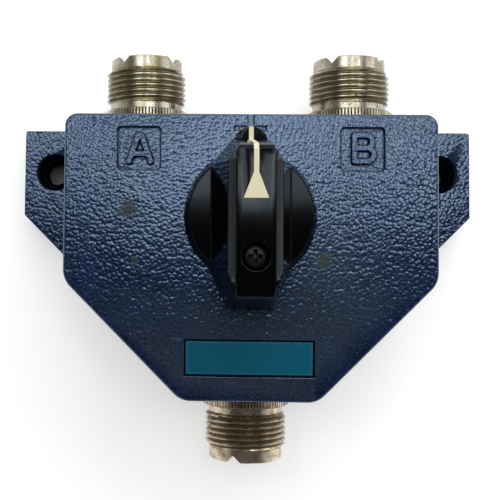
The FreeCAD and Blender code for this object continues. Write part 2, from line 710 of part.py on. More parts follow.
def make_common_finger():
    """Spring strip from the common tail, down and under the stud."""
    owner = body("common_finger")
    finger_top = "(%s - finger_gap)" % STUD_BOTTOM
    web = "(sweep_radius + finger_gap)"
    drawing = sketch(owner, "finger_profile", "YZ_Plane")
    outline(drawing, [
        ("-%s - finger_lap" % web, TAIL_BOTTOM),
        ("-%s" % web, TAIL_BOTTOM),
        ("-%s" % web, finger_top),
        ("finger_past_axis", finger_top),
        ("finger_past_axis", "%s - finger_thickness" % finger_top),
        ("-%s - finger_thickness" % web, "%s - finger_thickness" % finger_top),
        ("-%s - finger_thickness" % web, "%s - finger_thickness" % TAIL_BOTTOM),
        ("-%s - finger_lap" % web, "%s - finger_thickness" % TAIL_BOTTOM),
    ])
    pad(owner, "finger", drawing, "2 * finger_half_width", symmetric=True)
    return owner


def turned(name, corners):
    """A body turned about the shaft axis from one profile."""
    owner = body(name)
    drawing = sketch(owner, name + "_profile", "XZ_Plane")
    outline(drawing, corners)
    revolve(owner, name + "_turned", drawing)
    return owner


def make_bushing():
    """Brass bush, pressed into the front wall from outside."""
    bore = "shaft_radius + shaft_running_gap"
    top = "case_depth + bush_stand"
    return turned("bushing", [
        (bore, HUB_FACE),
        ("bush_radius", HUB_FACE),
        ("bush_radius", top),
        (bore, top),
    ])


def make_shaft():
    """Shaft with lower step, ring groove, flat and tapped end."""
    hole_bottom = "%s - knob_screw_length - screw_clearance" % SCREW_SEAT
    hole = "knob_screw_radius + screw_clearance / 2"
    owner = turned("shaft", [
        ("0", SHAFT_BOTTOM),
        ("shaft_tip_radius", SHAFT_BOTTOM),
        ("shaft_tip_radius", SHOULDER),
        ("shaft_radius", SHOULDER),
        ("shaft_radius", RING_BOTTOM),
        ("ring_groove_radius", RING_BOTTOM),
        ("ring_groove_radius", "%s + ring_thickness" % RING_BOTTOM),
        ("shaft_radius", "%s + ring_thickness" % RING_BOTTOM),
        ("shaft_radius", SHAFT_TOP),
        (hole, SHAFT_TOP),
        (hole, hole_bottom),
        ("0", hole_bottom),
    ])
    drawing = sketch(owner, "flat_rectangle", offset=SHAFT_TOP)
    rectangle(drawing, "-shaft_radius", "shaft_radius", "-2 * shaft_radius", "-shaft_radius + shaft_flat")
    pocket(owner, "shaft_key_flat", drawing, "%s - %s - ring_room_depth" % (SHAFT_TOP, KNOB_BASE))
    return owner


def make_retaining_ring():
    """Open spring ring in the shaft's groove."""
    owner = turned("retaining_ring", [
        ("ring_groove_radius", RING_BOTTOM),
        ("ring_radius", RING_BOTTOM),
        ("ring_radius", "%s + ring_thickness" % RING_BOTTOM),
        ("ring_groove_radius", "%s + ring_thickness" % RING_BOTTOM),
    ])
    drawing = sketch(owner, "ring_opening", offset=RING_BOTTOM)
    rectangle(drawing, "-ring_gap / 2", "ring_gap / 2", "0", "2 * ring_radius")
    pocket(owner, "ring_cut", drawing, "ring_thickness", reverse=True)
    return owner


def sector(drawing, inner, outer, half_angle, direction):
    """A notch that opens outwards, centred on +Y (direction 1) or -Y (direction -1)."""
    run_in = "%s * tan(%s * 1 deg)" % (inner, half_angle)
    run_out = "%s * tan(%s * 1 deg)" % (outer, half_angle)
    sign = "" if direction > 0 else "-"
    outline(drawing, [
        ("-(%s)" % run_in, sign + inner),
        (run_in, sign + inner),
        (run_out, sign + outer),
        ("-(%s)" % run_out, sign + outer),
    ])


def make_stop_disc():
    """Notched disc on the shaft, which also bears against the bush."""
    bore = "shaft_radius + seat_clearance"
    owner = turned("stop_disc", [
        (bore, DISC_BOTTOM),
        ("stop_disc_radius", DISC_BOTTOM),
        ("stop_disc_radius", DISC_TOP),
        (bore, DISC_TOP),
    ])
    half_angle = "(throw_angle + asin(stop_pin_radius / stop_pin_reach) / 1 deg + stop_play)"
    drawing = sketch(owner, "stop_notch_outline", offset=DISC_BOTTOM)
    sector(drawing, "stop_hub_radius * cos(%s * 1 deg)" % half_angle, "stop_disc_radius", half_angle, -1)
    pocket(owner, "stop_notch", drawing, "stop_disc_thickness", reverse=True)
    return owner


def make_stop_pin():
    """Pin that limits the turn, pressed into the front wall."""
    owner = body("stop_pin")
    drawing = sketch(owner, "stop_pin_outline", offset=DISC_BOTTOM)
    circle(drawing, "0", "-stop_pin_reach", "stop_pin_radius")
    pad(owner, "pin", drawing, "%s + stop_pin_seat - %s" % (CEILING, DISC_BOTTOM))
    return owner


def make_ground_plate():
    """Disc with an opening round the blade, earthed through the shaft."""
    bottom = "%s - %s" % (DECK_UP, HALF_SHEET)
    top = "%s + %s" % (DECK_UP, HALF_SHEET)
    bore = "shaft_tip_radius + seat_clearance"
    owner = turned("ground_plate", [
        (bore, bottom),
        ("sweep_radius", bottom),
        ("sweep_radius", top),
        (bore, top),
    ])
    drawing = sketch(owner, "window_outline", offset=bottom)
    sector(drawing, "window_radius", "sweep_radius", "window_angle", 1)
    pocket(owner, "window", drawing, "sheet_thickness", reverse=True)
    return owner


def make_rotor():
    """Insulating hub on the shaft's lower step, with a slot for the blade."""
    bore = "shaft_tip_radius + seat_clearance"
    stud_hole = "stud_radius + seat_clearance"
    blade_top = "%s + %s" % (DECK_DOWN, HALF_SHEET)
    owner = turned("rotor", [
        (stud_hole, "rotor_bottom"),
        ("rotor_radius", "rotor_bottom"),
        ("rotor_radius", ROTOR_TOP),
        (bore, ROTOR_TOP),
        (bore, SHAFT_BOTTOM),
        ("0", SHAFT_BOTTOM),
        ("0", blade_top),
        (stud_hole, blade_top),
    ])
    drawing = sketch(owner, "blade_slot_outline", "XZ_Plane", "blade_tail")
    half = "(blade_width / 2 + seat_clearance)"
    rectangle(drawing, "-" + half, half, "%s - %s" % (DECK_DOWN, HALF_SHEET), blade_top)
    pocket(owner, "blade_slot", drawing, "blade_tail + rotor_radius")
    return owner


def make_rotor_blade():
    """Flat moving contact, with a hole for the stud and a rounded tip."""
    owner = body("rotor_blade")
    drawing = sketch(owner, "blade_outline", offset="%s - %s" % (DECK_DOWN, HALF_SHEET))
    rectangle(drawing, "-blade_width / 2", "blade_width / 2", "-blade_tail + seat_clearance", "sweep_radius")
    circle(drawing, "0", "0", "stud_radius + seat_clearance")
    pad(owner, "blade", drawing, "sheet_thickness")
    tips = [(sign * value("blade_width / 2"), value("sweep_radius")) for sign in (1, -1)]
    round_edges(owner, "blade_tip", "blade_width / 4", upright_at(tips))
    return owner


def make_rotor_stud():
    """Stud on the shaft axis, under the blade."""
    return turned("rotor_stud", [
        ("0", STUD_BOTTOM),
        ("stud_head_radius", STUD_BOTTOM),
        ("stud_head_radius", "rotor_bottom"),
        ("stud_radius", "rotor_bottom"),
        ("stud_radius", "%s + %s" % (DECK_DOWN, HALF_SHEET)),
        ("0", "%s + %s" % (DECK_DOWN, HALF_SHEET)),
    ])


def make_knob_blank():
    """Skirt, tab and lofted bar, with shaft bore, screw seat and moulding cores."""
    owner = body("knob_blank")
    skirt = sketch(owner, "skirt_base", offset=KNOB_BASE)
    circle(skirt, "0", "skirt_y", "skirt_base_radius")
    rim = sketch(owner, "skirt_rim", offset="%s + skirt_height" % KNOB_BASE)
    circle(rim, "0", "skirt_y", "skirt_top_radius")
    loft(owner, "skirt", skirt, [rim], ruled=False)

    tab = sketch(owner, "tab_outline", offset=KNOB_BASE)
    circle(tab, "0", "tab_y", "tab_radius")
    pad(owner, "tab", tab, "tab_height")

    foot = sketch(owner, "bar_foot", offset=KNOB_BASE)
    outline(foot, mirrored_corners([
        ("foot_nose_half", "foot_nose_y"),
        ("foot_half", "foot_shoulder_y"),
        ("foot_half", "foot_hip_y"),
        ("foot_heel_half", "foot_heel_y"),
        ("foot_end_half", "foot_end_y"),
    ]))
    brow = sketch(owner, "bar_brow", offset="%s + brow_height" % KNOB_BASE)
    outline(brow, mirrored_corners([
        ("brow_nose_half", "brow_nose_y"),
        ("brow_half", "brow_shoulder_y"),
        ("brow_half", "brow_hip_y"),
        ("brow_heel_half", "brow_heel_y"),
        ("brow_end_half", "brow_end_y"),
    ]))
    top = sketch(owner, "bar_top", offset=KNOB_TOP)
    outline(top, mirrored_corners([
        ("top_nose_half", "top_nose_y"),
        ("top_half", "brow_shoulder_y"),
        ("top_half", "brow_hip_y"),
        ("top_half", "brow_heel_y"),
        ("top_end_half", "top_end_y"),
    ]))
    loft(owner, "bar", foot, [brow, top], ruled=True)

    room = sketch(owner, "ring_room_circle", offset=KNOB_BASE)
    circle(room, "0", "0", "ring_room_radius")
    pocket(owner, "ring_room", room, "ring_room_depth", reverse=True)
    core = sketch(owner, "core_rectangle", offset=KNOB_BASE)
    rectangle(core, "-core_half_width", "core_half_width", "core_start_y", "core_end_y")
    pocket(owner, "moulding_core", core, "core_depth", reverse=True)

    bore = sketch(owner, "shaft_bore_circle", offset=KNOB_BASE)
    circle(bore, "0", "0", "shaft_radius + knob_bore_gap")
    pocket(owner, "shaft_bore", bore, "%s - %s" % (SHAFT_TOP, KNOB_BASE), reverse=True)
    key = sketch(owner, "key_rectangle", offset="%s + ring_room_depth" % KNOB_BASE)
    rectangle(key, "-shaft_radius - knob_bore_gap", "shaft_radius + knob_bore_gap",
              "-shaft_radius - 2 * knob_bore_gap", "-shaft_radius + shaft_flat - knob_bore_gap")
    pad(owner, "key_land", key, "%s - %s - ring_room_depth" % (SHAFT_TOP, KNOB_BASE))
    hole = sketch(owner, "screw_hole_circle", offset=SHAFT_TOP)
    circle(hole, "0", "0", "knob_screw_radius + screw_clearance")
    pocket(owner, "screw_hole", hole, "knob_web", reverse=True)
    sink = sketch(owner, "screw_sink_circle", offset=SCREW_SEAT)
    circle(sink, "0", "0", "knob_sink_radius")
    pocket(owner, "screw_sink", sink, "%s - %s" % (KNOB_TOP, SCREW_SEAT), reverse=True)
    return owner


def loft(owner, name, start, sections, ruled):
    """Add a loft through sketches."""
    made = owner.newObject("PartDesign::AdditiveLoft", name)
    made.Profile = start
    made.Sections = sections
    made.Ruled = ruled
    owner.Tip = made
    document.recompute()
    return made


def make_pointer_line(blank):
    """Skin of the knob under the line's plan shape, let in by line_depth."""
    owner = body("line_cutter")
    drawing = sketch(owner, "line_outline", offset=KNOB_BASE)
    outline(drawing, mirrored_corners([
        ("line_half_width", "tab_y + 2 * tab_radius"),
        ("line_half_width", "arrow_start_y"),
        ("arrow_half_width", "arrow_end_y"),
    ]))
    pad(owner, "line_prism", drawing, "2 * bar_height")
    covered = document.addObject("Part::Common", "knob_under_line")
    covered.Base = blank
    covered.Tool = owner
    sunk = document.addObject("Part::Compound", "sunk_knob")
    sunk.Links = [blank]
    sunk.setExpression("Placement.Base.y", bound("-line_depth"))
    sunk.setExpression("Placement.Base.z", bound("-line_depth"))
    line = document.addObject("Part::Cut", "pointer_line")
    line.Label = "pointer_line"
    line.Base = covered
    line.Tool = sunk
    return line


def make_knob(blank, line):
    """The knob with the pocket that the pointer line fills."""
    knob = document.addObject("Part::Cut", "knob")
    knob.Label = "knob"
    knob.Base = blank
    knob.Tool = line
    return knob


def make_knob_screw():
    """Pan-head screw that holds the knob on the shaft."""
    head_top = "%s + knob_screw_head_height" % SCREW_SEAT
    tip = "%s - knob_screw_length" % SCREW_SEAT
    return turned("knob_screw", [
        ("0", tip),
        ("knob_screw_radius", tip),
        ("knob_screw_radius", SCREW_SEAT),
        ("knob_screw_head_radius", SCREW_SEAT),
        ("knob_screw_head_radius", head_top),
        ("0", head_top),
    ])


def build():
    """All sub-parts, in the order in which the object goes together."""
    pieces = [make_housing(), make_label_plate()]
    for port in ("a", "b", "common"):
        pieces += [make_shell(port), make_insulator(port), make_contact(port)]
    pieces += [make_port_clip("a"), make_port_clip("b"), make_ground_clip(), make_common_finger()]
    pieces += [make_stop_pin(), make_bushing(), make_shaft(), make_stop_disc(), make_retaining_ring()]
    pieces += [make_ground_plate(), make_rotor(), make_rotor_blade(), make_rotor_stud()]
    blank = make_knob_blank()
    line = make_pointer_line(blank)
    pieces += [make_knob(blank, line), line, make_knob_screw()]
    pieces += [make_rear_cover(), make_cover_screws()]
    return pieces


def check(pieces):
    """Stop if anything failed to build."""
    for each in document.Objects:
        if "Invalid" in each.State or "Error" in each.State:
            raise RuntimeError("%s is %s" % (each.Name, each.State))
    for piece in pieces:
        if piece.Shape.isNull() or not piece.Shape.isValid() or not piece.Shape.Solids:
            raise RuntimeError("%s has no valid solid" % piece.Label)


def export(pieces):
    """One STEP file for each sub-part."""
    os.makedirs("parts", exist_ok=True)
    for piece in pieces:
        piece.Shape.exportStep("parts/%s.step" % piece.Label)
        print("%-18s %2d solids %9.1f mm3" % (piece.Label, len(piece.Shape.Solids), piece.Shape.Volume))


made = build()
document.recompute()
check(made)
export(made)
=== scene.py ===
"""Dressed model of a two-way coaxial antenna switch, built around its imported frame.

Metres in the scene, millimetres in every size below. +Z runs out of the front face along the knob's
shaft, +Y points to the two antenna connectors, and the origin is where the shaft axis meets the rear.
"""

import json
import logging
import math
from collections.abc import Callable, Iterable, Sequence
from dataclasses import dataclass
from enum import Enum
from functools import partial

import bmesh
import bpy
from mathutils import Matrix, Vector

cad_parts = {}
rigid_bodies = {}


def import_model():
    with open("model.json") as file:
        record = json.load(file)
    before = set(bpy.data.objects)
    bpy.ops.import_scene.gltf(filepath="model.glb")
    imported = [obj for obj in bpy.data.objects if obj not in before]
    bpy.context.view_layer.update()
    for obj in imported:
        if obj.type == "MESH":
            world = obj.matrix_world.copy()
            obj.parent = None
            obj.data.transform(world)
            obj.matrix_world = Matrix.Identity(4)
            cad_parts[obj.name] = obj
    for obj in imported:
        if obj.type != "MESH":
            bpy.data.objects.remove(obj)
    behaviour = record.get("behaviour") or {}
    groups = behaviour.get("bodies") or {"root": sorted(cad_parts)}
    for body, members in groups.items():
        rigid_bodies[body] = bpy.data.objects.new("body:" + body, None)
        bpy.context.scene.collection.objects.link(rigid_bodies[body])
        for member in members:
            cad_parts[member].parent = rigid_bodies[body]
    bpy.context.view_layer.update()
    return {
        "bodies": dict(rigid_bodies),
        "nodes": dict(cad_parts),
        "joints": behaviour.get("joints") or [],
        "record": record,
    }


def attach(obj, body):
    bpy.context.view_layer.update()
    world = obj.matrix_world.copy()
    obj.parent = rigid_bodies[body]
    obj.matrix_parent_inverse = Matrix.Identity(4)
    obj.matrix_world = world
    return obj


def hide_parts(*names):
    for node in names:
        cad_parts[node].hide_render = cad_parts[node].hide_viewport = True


LOG = logging.getLogger("coaxial_switch")

MM = 0.001
INCH = 25.4
TURN = 2.0 * math.pi
NODE_MERGE = 1e-7  # metres between two corners of a frame node that are one
SHELL_MERGE = 1e-6  # the same for a connector's shell
FLAT_TURN = math.radians(0.6)  # faces that meet at less than this are one
FRONT = 28.0  # level of the front face
EAR_HOLE = (40.0, 17.5)  # centre of the fixing hole on the positive side
NOISE_REACH = (0.3, 0.7)  # where the values of a noise mostly lie
SCREW_CRISP = math.radians(35.0)  # a screw's faces that meet at more than this keep a sharp edge
WHITE = (1.0, 1.0, 1.0, 1.0)

Point = tuple[float, float, float]
Pair = tuple[float, float]
Row = list[tuple[float, float, float, int]]
Frame = dict[str, object]
Piece = bpy.types.Object
Draft = bmesh.types.BMesh
Corner = bmesh.types.BMVert
Tree = bpy.types.NodeTree
Node = bpy.types.Node
Socket = bpy.types.NodeSocket
Sockets = dict[str | int, object]
Add = Callable[..., Node]


class Body(Enum):
    """The two moving groups of the frame."""

    CASE = "case"
    SELECTOR = "selector"


class Shading(Enum):
    """How the faces of a new piece take the light."""

    FLAT = "flat"
    SMOOTH = "smooth"
    WEIGHTED = "smooth, with the broad faces kept even"


# ----- Small tools for shader nodes -----


def linear(colour: str) -> tuple[float, float, float, float]:
    """Turns an sRGB hex colour into linear red, green, blue and alpha.

    Args:
        colour: six hex digits after a hash sign.

    Returns:
        The four values that a colour socket takes.
    """
    parts = [int(colour[start:start + 2], 16) / 255.0 for start in (1, 3, 5)]
    red, green, blue = (
        part / 12.92 if part <= 0.04045 else ((part + 0.055) / 1.055) ** 2.4 for part in parts
    )
    return red, green, blue, 1.0


def per_metre(size_mm: float) -> float:
    """Texture scale at which one feature of the pattern is size_mm wide."""
    return 1.0 / (size_mm * MM)


def span(ends: Pair, side: str = "From") -> dict[str, float]:
    """The two sockets of a mapped value's range, on its From or its To side."""
    return {side + " Min": ends[0], side + " Max": ends[1]}


def add_node(tree: Tree, kind: str, inputs: Sockets | None = None, **settings: object) -> Node:
    """Adds one shader node.

    Args:
        tree: the node tree that takes it.
        kind: Blender's name of the node, without the ShaderNode at its start.
        inputs: socket name or number, and what feeds it: a value, an output socket, or a node, whose
            first output is then meant.
        **settings: properties of the node itself.

    Returns:
        The new node.
    """
    node = tree.nodes.new("ShaderNode" + kind)
    for key, setting in settings.items():
        setattr(node, key, setting)
    for key, source in (inputs or {}).items():
        if isinstance(source, Node):
            source = source.outputs[0]
        if isinstance(source, Socket):
            tree.links.new(source, node.inputs[key])
        else:
            node.inputs[key].default_value = source
    return node


def from_ear_hole(add: Add, place: Socket) -> Socket:
    """Distance in metres, seen from above, from a point to the axis of the nearer fixing hole.

    Args:
        add: adds a node to the tree.
        place: the point.

    Returns:
        The socket with the distance.
    """
    parts = add("SeparateXYZ", {"Vector": place}).outputs
    aside = add("Math", {0: parts["X"]}, operation="ABSOLUTE")
    flat = add("CombineXYZ", {"X": aside, "Y": parts["Y"]})
    target = (EAR_HOLE[0] * MM, EAR_HOLE[1] * MM, 0.0)
    return add("VectorMath", {0: flat, 1: target}, operation="DISTANCE").outputs["Value"]


def layered(add: Add, base: str, *layers: tuple[Node, str]) -> Node:
    """A colour with others laid over it.

    Args:
        add: adds a node to the tree.
        base: hex colour of the lowest layer.
        *layers: for each further one the mask that shows it, and its hex colour.

    Returns:
        The node with the colour.
    """
    colour = linear(base)
    for mask, over in layers:
        colour = add("MixRGB", {"Fac": mask, "Color1": colour, "Color2": linear(over)})
    return colour


def drawn_out(add: Add, place: Socket, sizes_mm: Point, detail: float) -> Node:
    """Noise drawn out along the axes, as turning, rolling or wiping leaves it.

    Args:
        add: adds a node to the tree.
        place: where a point lies on the piece.
        sizes_mm: how far one mark reaches along each axis.
        detail: how many finer steps the noise has.

    Returns:
        The node with the noise.
    """
    scale = tuple(per_metre(size) for size in sizes_mm)
    stretched = add("VectorMath", {0: place, 1: scale}, operation="MULTIPLY")
    return add("TexNoise", {"Vector": stretched, "Scale": 1.0, "Detail": detail})


# ----- Small tools for meshes -----


def place_object(name: str, data: bpy.types.ID) -> Piece:
    """Puts something into the scene at the origin.

    Args:
        name: the object's name.
        data: its mesh, lamp or camera.

    Returns:
        The object.
    """
    made = bpy.data.objects.new(name, data)
    bpy.context.scene.collection.objects.link(made)
    return made


def even_normals(piece: Piece) -> None:
    """Keeps the broad faces even and lets the small ones round the edges."""
    piece.modifiers.new("weighted_normals", "WEIGHTED_NORMAL").keep_sharp = True


def mesh_object(name: str, draft: Draft, shading: Shading = Shading.WEIGHTED) -> Piece:
    """Turns a finished bmesh, in metres, into an object.

    Args:
        name: name of the piece.
        draft: the mesh; it is freed here.
        shading: how its faces take the light.

    Returns:
        The object.
    """
    bmesh.ops.recalc_face_normals(draft, faces=draft.faces)
    for face in draft.faces:
        face.smooth = shading is not Shading.FLAT
    mesh = bpy.data.meshes.new(name)
    draft.to_mesh(mesh)
    draft.free()
    made = place_object(name, mesh)
    if shading is Shading.WEIGHTED:
        even_normals(made)
    return made


def apply_modifiers(target: Piece) -> None:
    """Replaces an object's mesh by what its modifiers make of it, and drops them.

    Args:
        target: the object.
    """
    graph = bpy.context.evaluated_depsgraph_get()
    shaped = bpy.data.meshes.new_from_object(target.evaluated_get(graph))
    target.modifiers.clear()
    old = target.data
    target.data = shaped
    bpy.data.meshes.remove(old)


def cut_away(target: Piece, cutter: Piece) -> None:
    """Subtracts a cutter from a target's mesh, and removes the cutter.

    Args:
        target: the object that is cut.
        cutter: the object that cuts it.
    """
    step = target.modifiers.new("cut", "BOOLEAN")
    step.operation = "DIFFERENCE"
    step.solver = "EXACT"
    step.object = cutter
    apply_modifiers(target)
    bpy.data.objects.remove(cutter)


def corner(draft: Draft, x: float, y: float, z: float) -> Corner:
    """Adds a corner, given in millimetres, to a bmesh in metres."""
    return draft.verts.new((x * MM, y * MM, z * MM))


def skin(draft: Draft, rings: Sequence[Sequence[Corner]], closed: bool = True) -> None:
    """Joins each ring of corners to the next one by faces.

    Args:
        draft: the bmesh that takes the faces.
        rings: rings of equally many corners; one that repeats a single corner is a point.
        closed: whether a ring's last corner is joined to its first.
    """
    for near, far in zip(rings, rings[1:]):
        count = len(near)
        for number in range(count if closed else count - 1):
            after = (number + 1) % count
            corners = (near[number], near[after], far[after], far[number])
            draft.faces.new(list(dict.fromkeys(corners)))


def loft(draft: Draft, sections: Sequence[tuple[float, Sequence[Pair]]]) -> None:
    """Adds a closed solid through flat outlines at several levels.

    Args:
        draft: the bmesh that takes it.
        sections: level and corners of each outline, all with equally many corners.
    """
    rings = [[corner(draft, x, y, level) for x, y in outline] for level, outline in sections]
    skin(draft, rings)
    draft.faces.new(rings[-1])
    draft.faces.new(rings[0][::-1])


def capsule(start: Pair, end: Pair, radius: float, steps: int = 8) -> list[Pair]:
    """Outline of a stroke with round ends.

    Args:
        start: one end of its centre line.
        end: the other end.
        radius: half its width.
        steps: corners round each end.

    Returns:
        The corners, counterclockwise.
    """
    heading = math.atan2(end[1] - start[1], end[0] - start[0])
    outline = []
    for centre, first in ((end, heading - math.pi / 2.0), (start, heading + math.pi / 2.0)):
        for step in range(steps + 1):
            angle = first + math.pi * step / steps
            outline.append((centre[0] + radius * math.cos(angle), centre[1] + radius * math.sin(angle)))
    return outline


def turned_piece(name: str, profile: Sequence[Pair], columns: int = 48) -> Piece:
    """A piece turned about the scene's Z axis.

    Args:
        name: name of the piece.
        profile: radius and level in millimetres, from one point on the axis to another.
        columns: mesh columns round the axis.

    Returns:
        The piece.
    """
    draft = bmesh.new()
    angles = [TURN * column / columns for column in range(columns)]
    circle = [(math.cos(angle), math.sin(angle)) for angle in angles]
    rings = []
    for radius, level in profile:
        if radius == 0.0:
            rings.append([corner(draft, 0.0, 0.0, level)] * columns)
        else:
            rings.append([corner(draft, radius * x, radius * y, level) for x, y in circle])
    skin(draft, rings)
    return mesh_object(name, draft, Shading.SMOOTH)


def softened_copy(
    frame: Frame,
    node: str,
    name: str,
    break_mm: float,
    wanted: Callable[[Vector], bool],
    sharp_degrees: float = 28.0,
) -> Piece:
    """Copies a frame node's shape with its edges broken, as casting, moulding or deburring leaves them.

    Args:
        frame: the loaded frame.
        node: the node to copy.
        name: name of the new piece.
        break_mm: width of the broken edge.
        wanted: says of a place, in millimetres, whether edges there are broken.
        sharp_degrees: faces that meet at more than this make an edge.

    Returns:
        The new piece.
    """
    draft = bmesh.new()
    draft.from_mesh(frame["nodes"][node].data)
    bmesh.ops.remove_doubles(draft, verts=draft.verts, dist=NODE_MERGE)
    bmesh.ops.dissolve_limit(draft, angle_limit=FLAT_TURN, verts=draft.verts, edges=draft.edges)
    edges = [
        edge
        for edge in draft.edges
        if edge.calc_face_angle(0.0) > math.radians(sharp_degrees)
        and all(wanted(vertex.co / MM) for vertex in edge.verts)
    ]
    bmesh.ops.bevel(
        draft, geom=edges, offset=break_mm * MM, offset_type="OFFSET", segments=2, profile=0.5,
        affect="EDGES", clamp_overlap=False,
    )
    return mesh_object(name, draft)


# ----- Finishes -----


@dataclass(frozen=True)
class Finish:
    """A surface: a name and a node tree round one shader."""

    name: str

    def material(self) -> bpy.types.Material:
        """The finish's material, made on first use."""
        found = bpy.data.materials.get(self.name)
        if found is not None:
            return found
        made = bpy.data.materials.new(self.name)
        made.use_nodes = True
        made.node_tree.nodes.clear()
        add = partial(add_node, made.node_tree)
        place = add("TexCoord").outputs["Object"]
        shader = add("BsdfPrincipled", self.paint(add, place))
        add("OutputMaterial", {"Surface": shader})
        return made

    def paint(self, add: Add, place: Socket) -> Sockets:
        """Builds the nodes that lie before the shader.

        Args:
            add: adds a node to the tree.
            place: where a point lies on the piece.

        Returns:
            What feeds each of the shader's sockets.
        """
        raise NotImplementedError


def report_piece(piece: Piece, body: Body, finish: Finish, replaced: Iterable[str] = ()) -> None:
    """Gives a piece its finish, its body and the nodes it stands for, and logs it.

    Args:
        piece: the new piece.
        body: the body it moves with.
        finish: what its surface is.
        replaced: frame nodes that it stands for.
    """
    piece.data.materials.clear()
    piece.data.materials.append(finish.material())
    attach(piece, body.value)
    for node in replaced:
        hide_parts(node)
    LOG.info("%s: %d faces, finish %s", piece.name, len(piece.data.polygons), finish.name)


def dress_node(frame: Frame, node: str, finish: Finish) -> None:
    """Gives a frame node that stays as it is a finish of its own.

    Args:
        frame: the loaded frame.
        node: the node.
        finish: what its surface is.
    """
    mesh = frame["nodes"][node].data
    mesh.materials.clear()
    mesh.materials.append(finish.material())
    LOG.info("%s: kept, finish %s", node, finish.name)


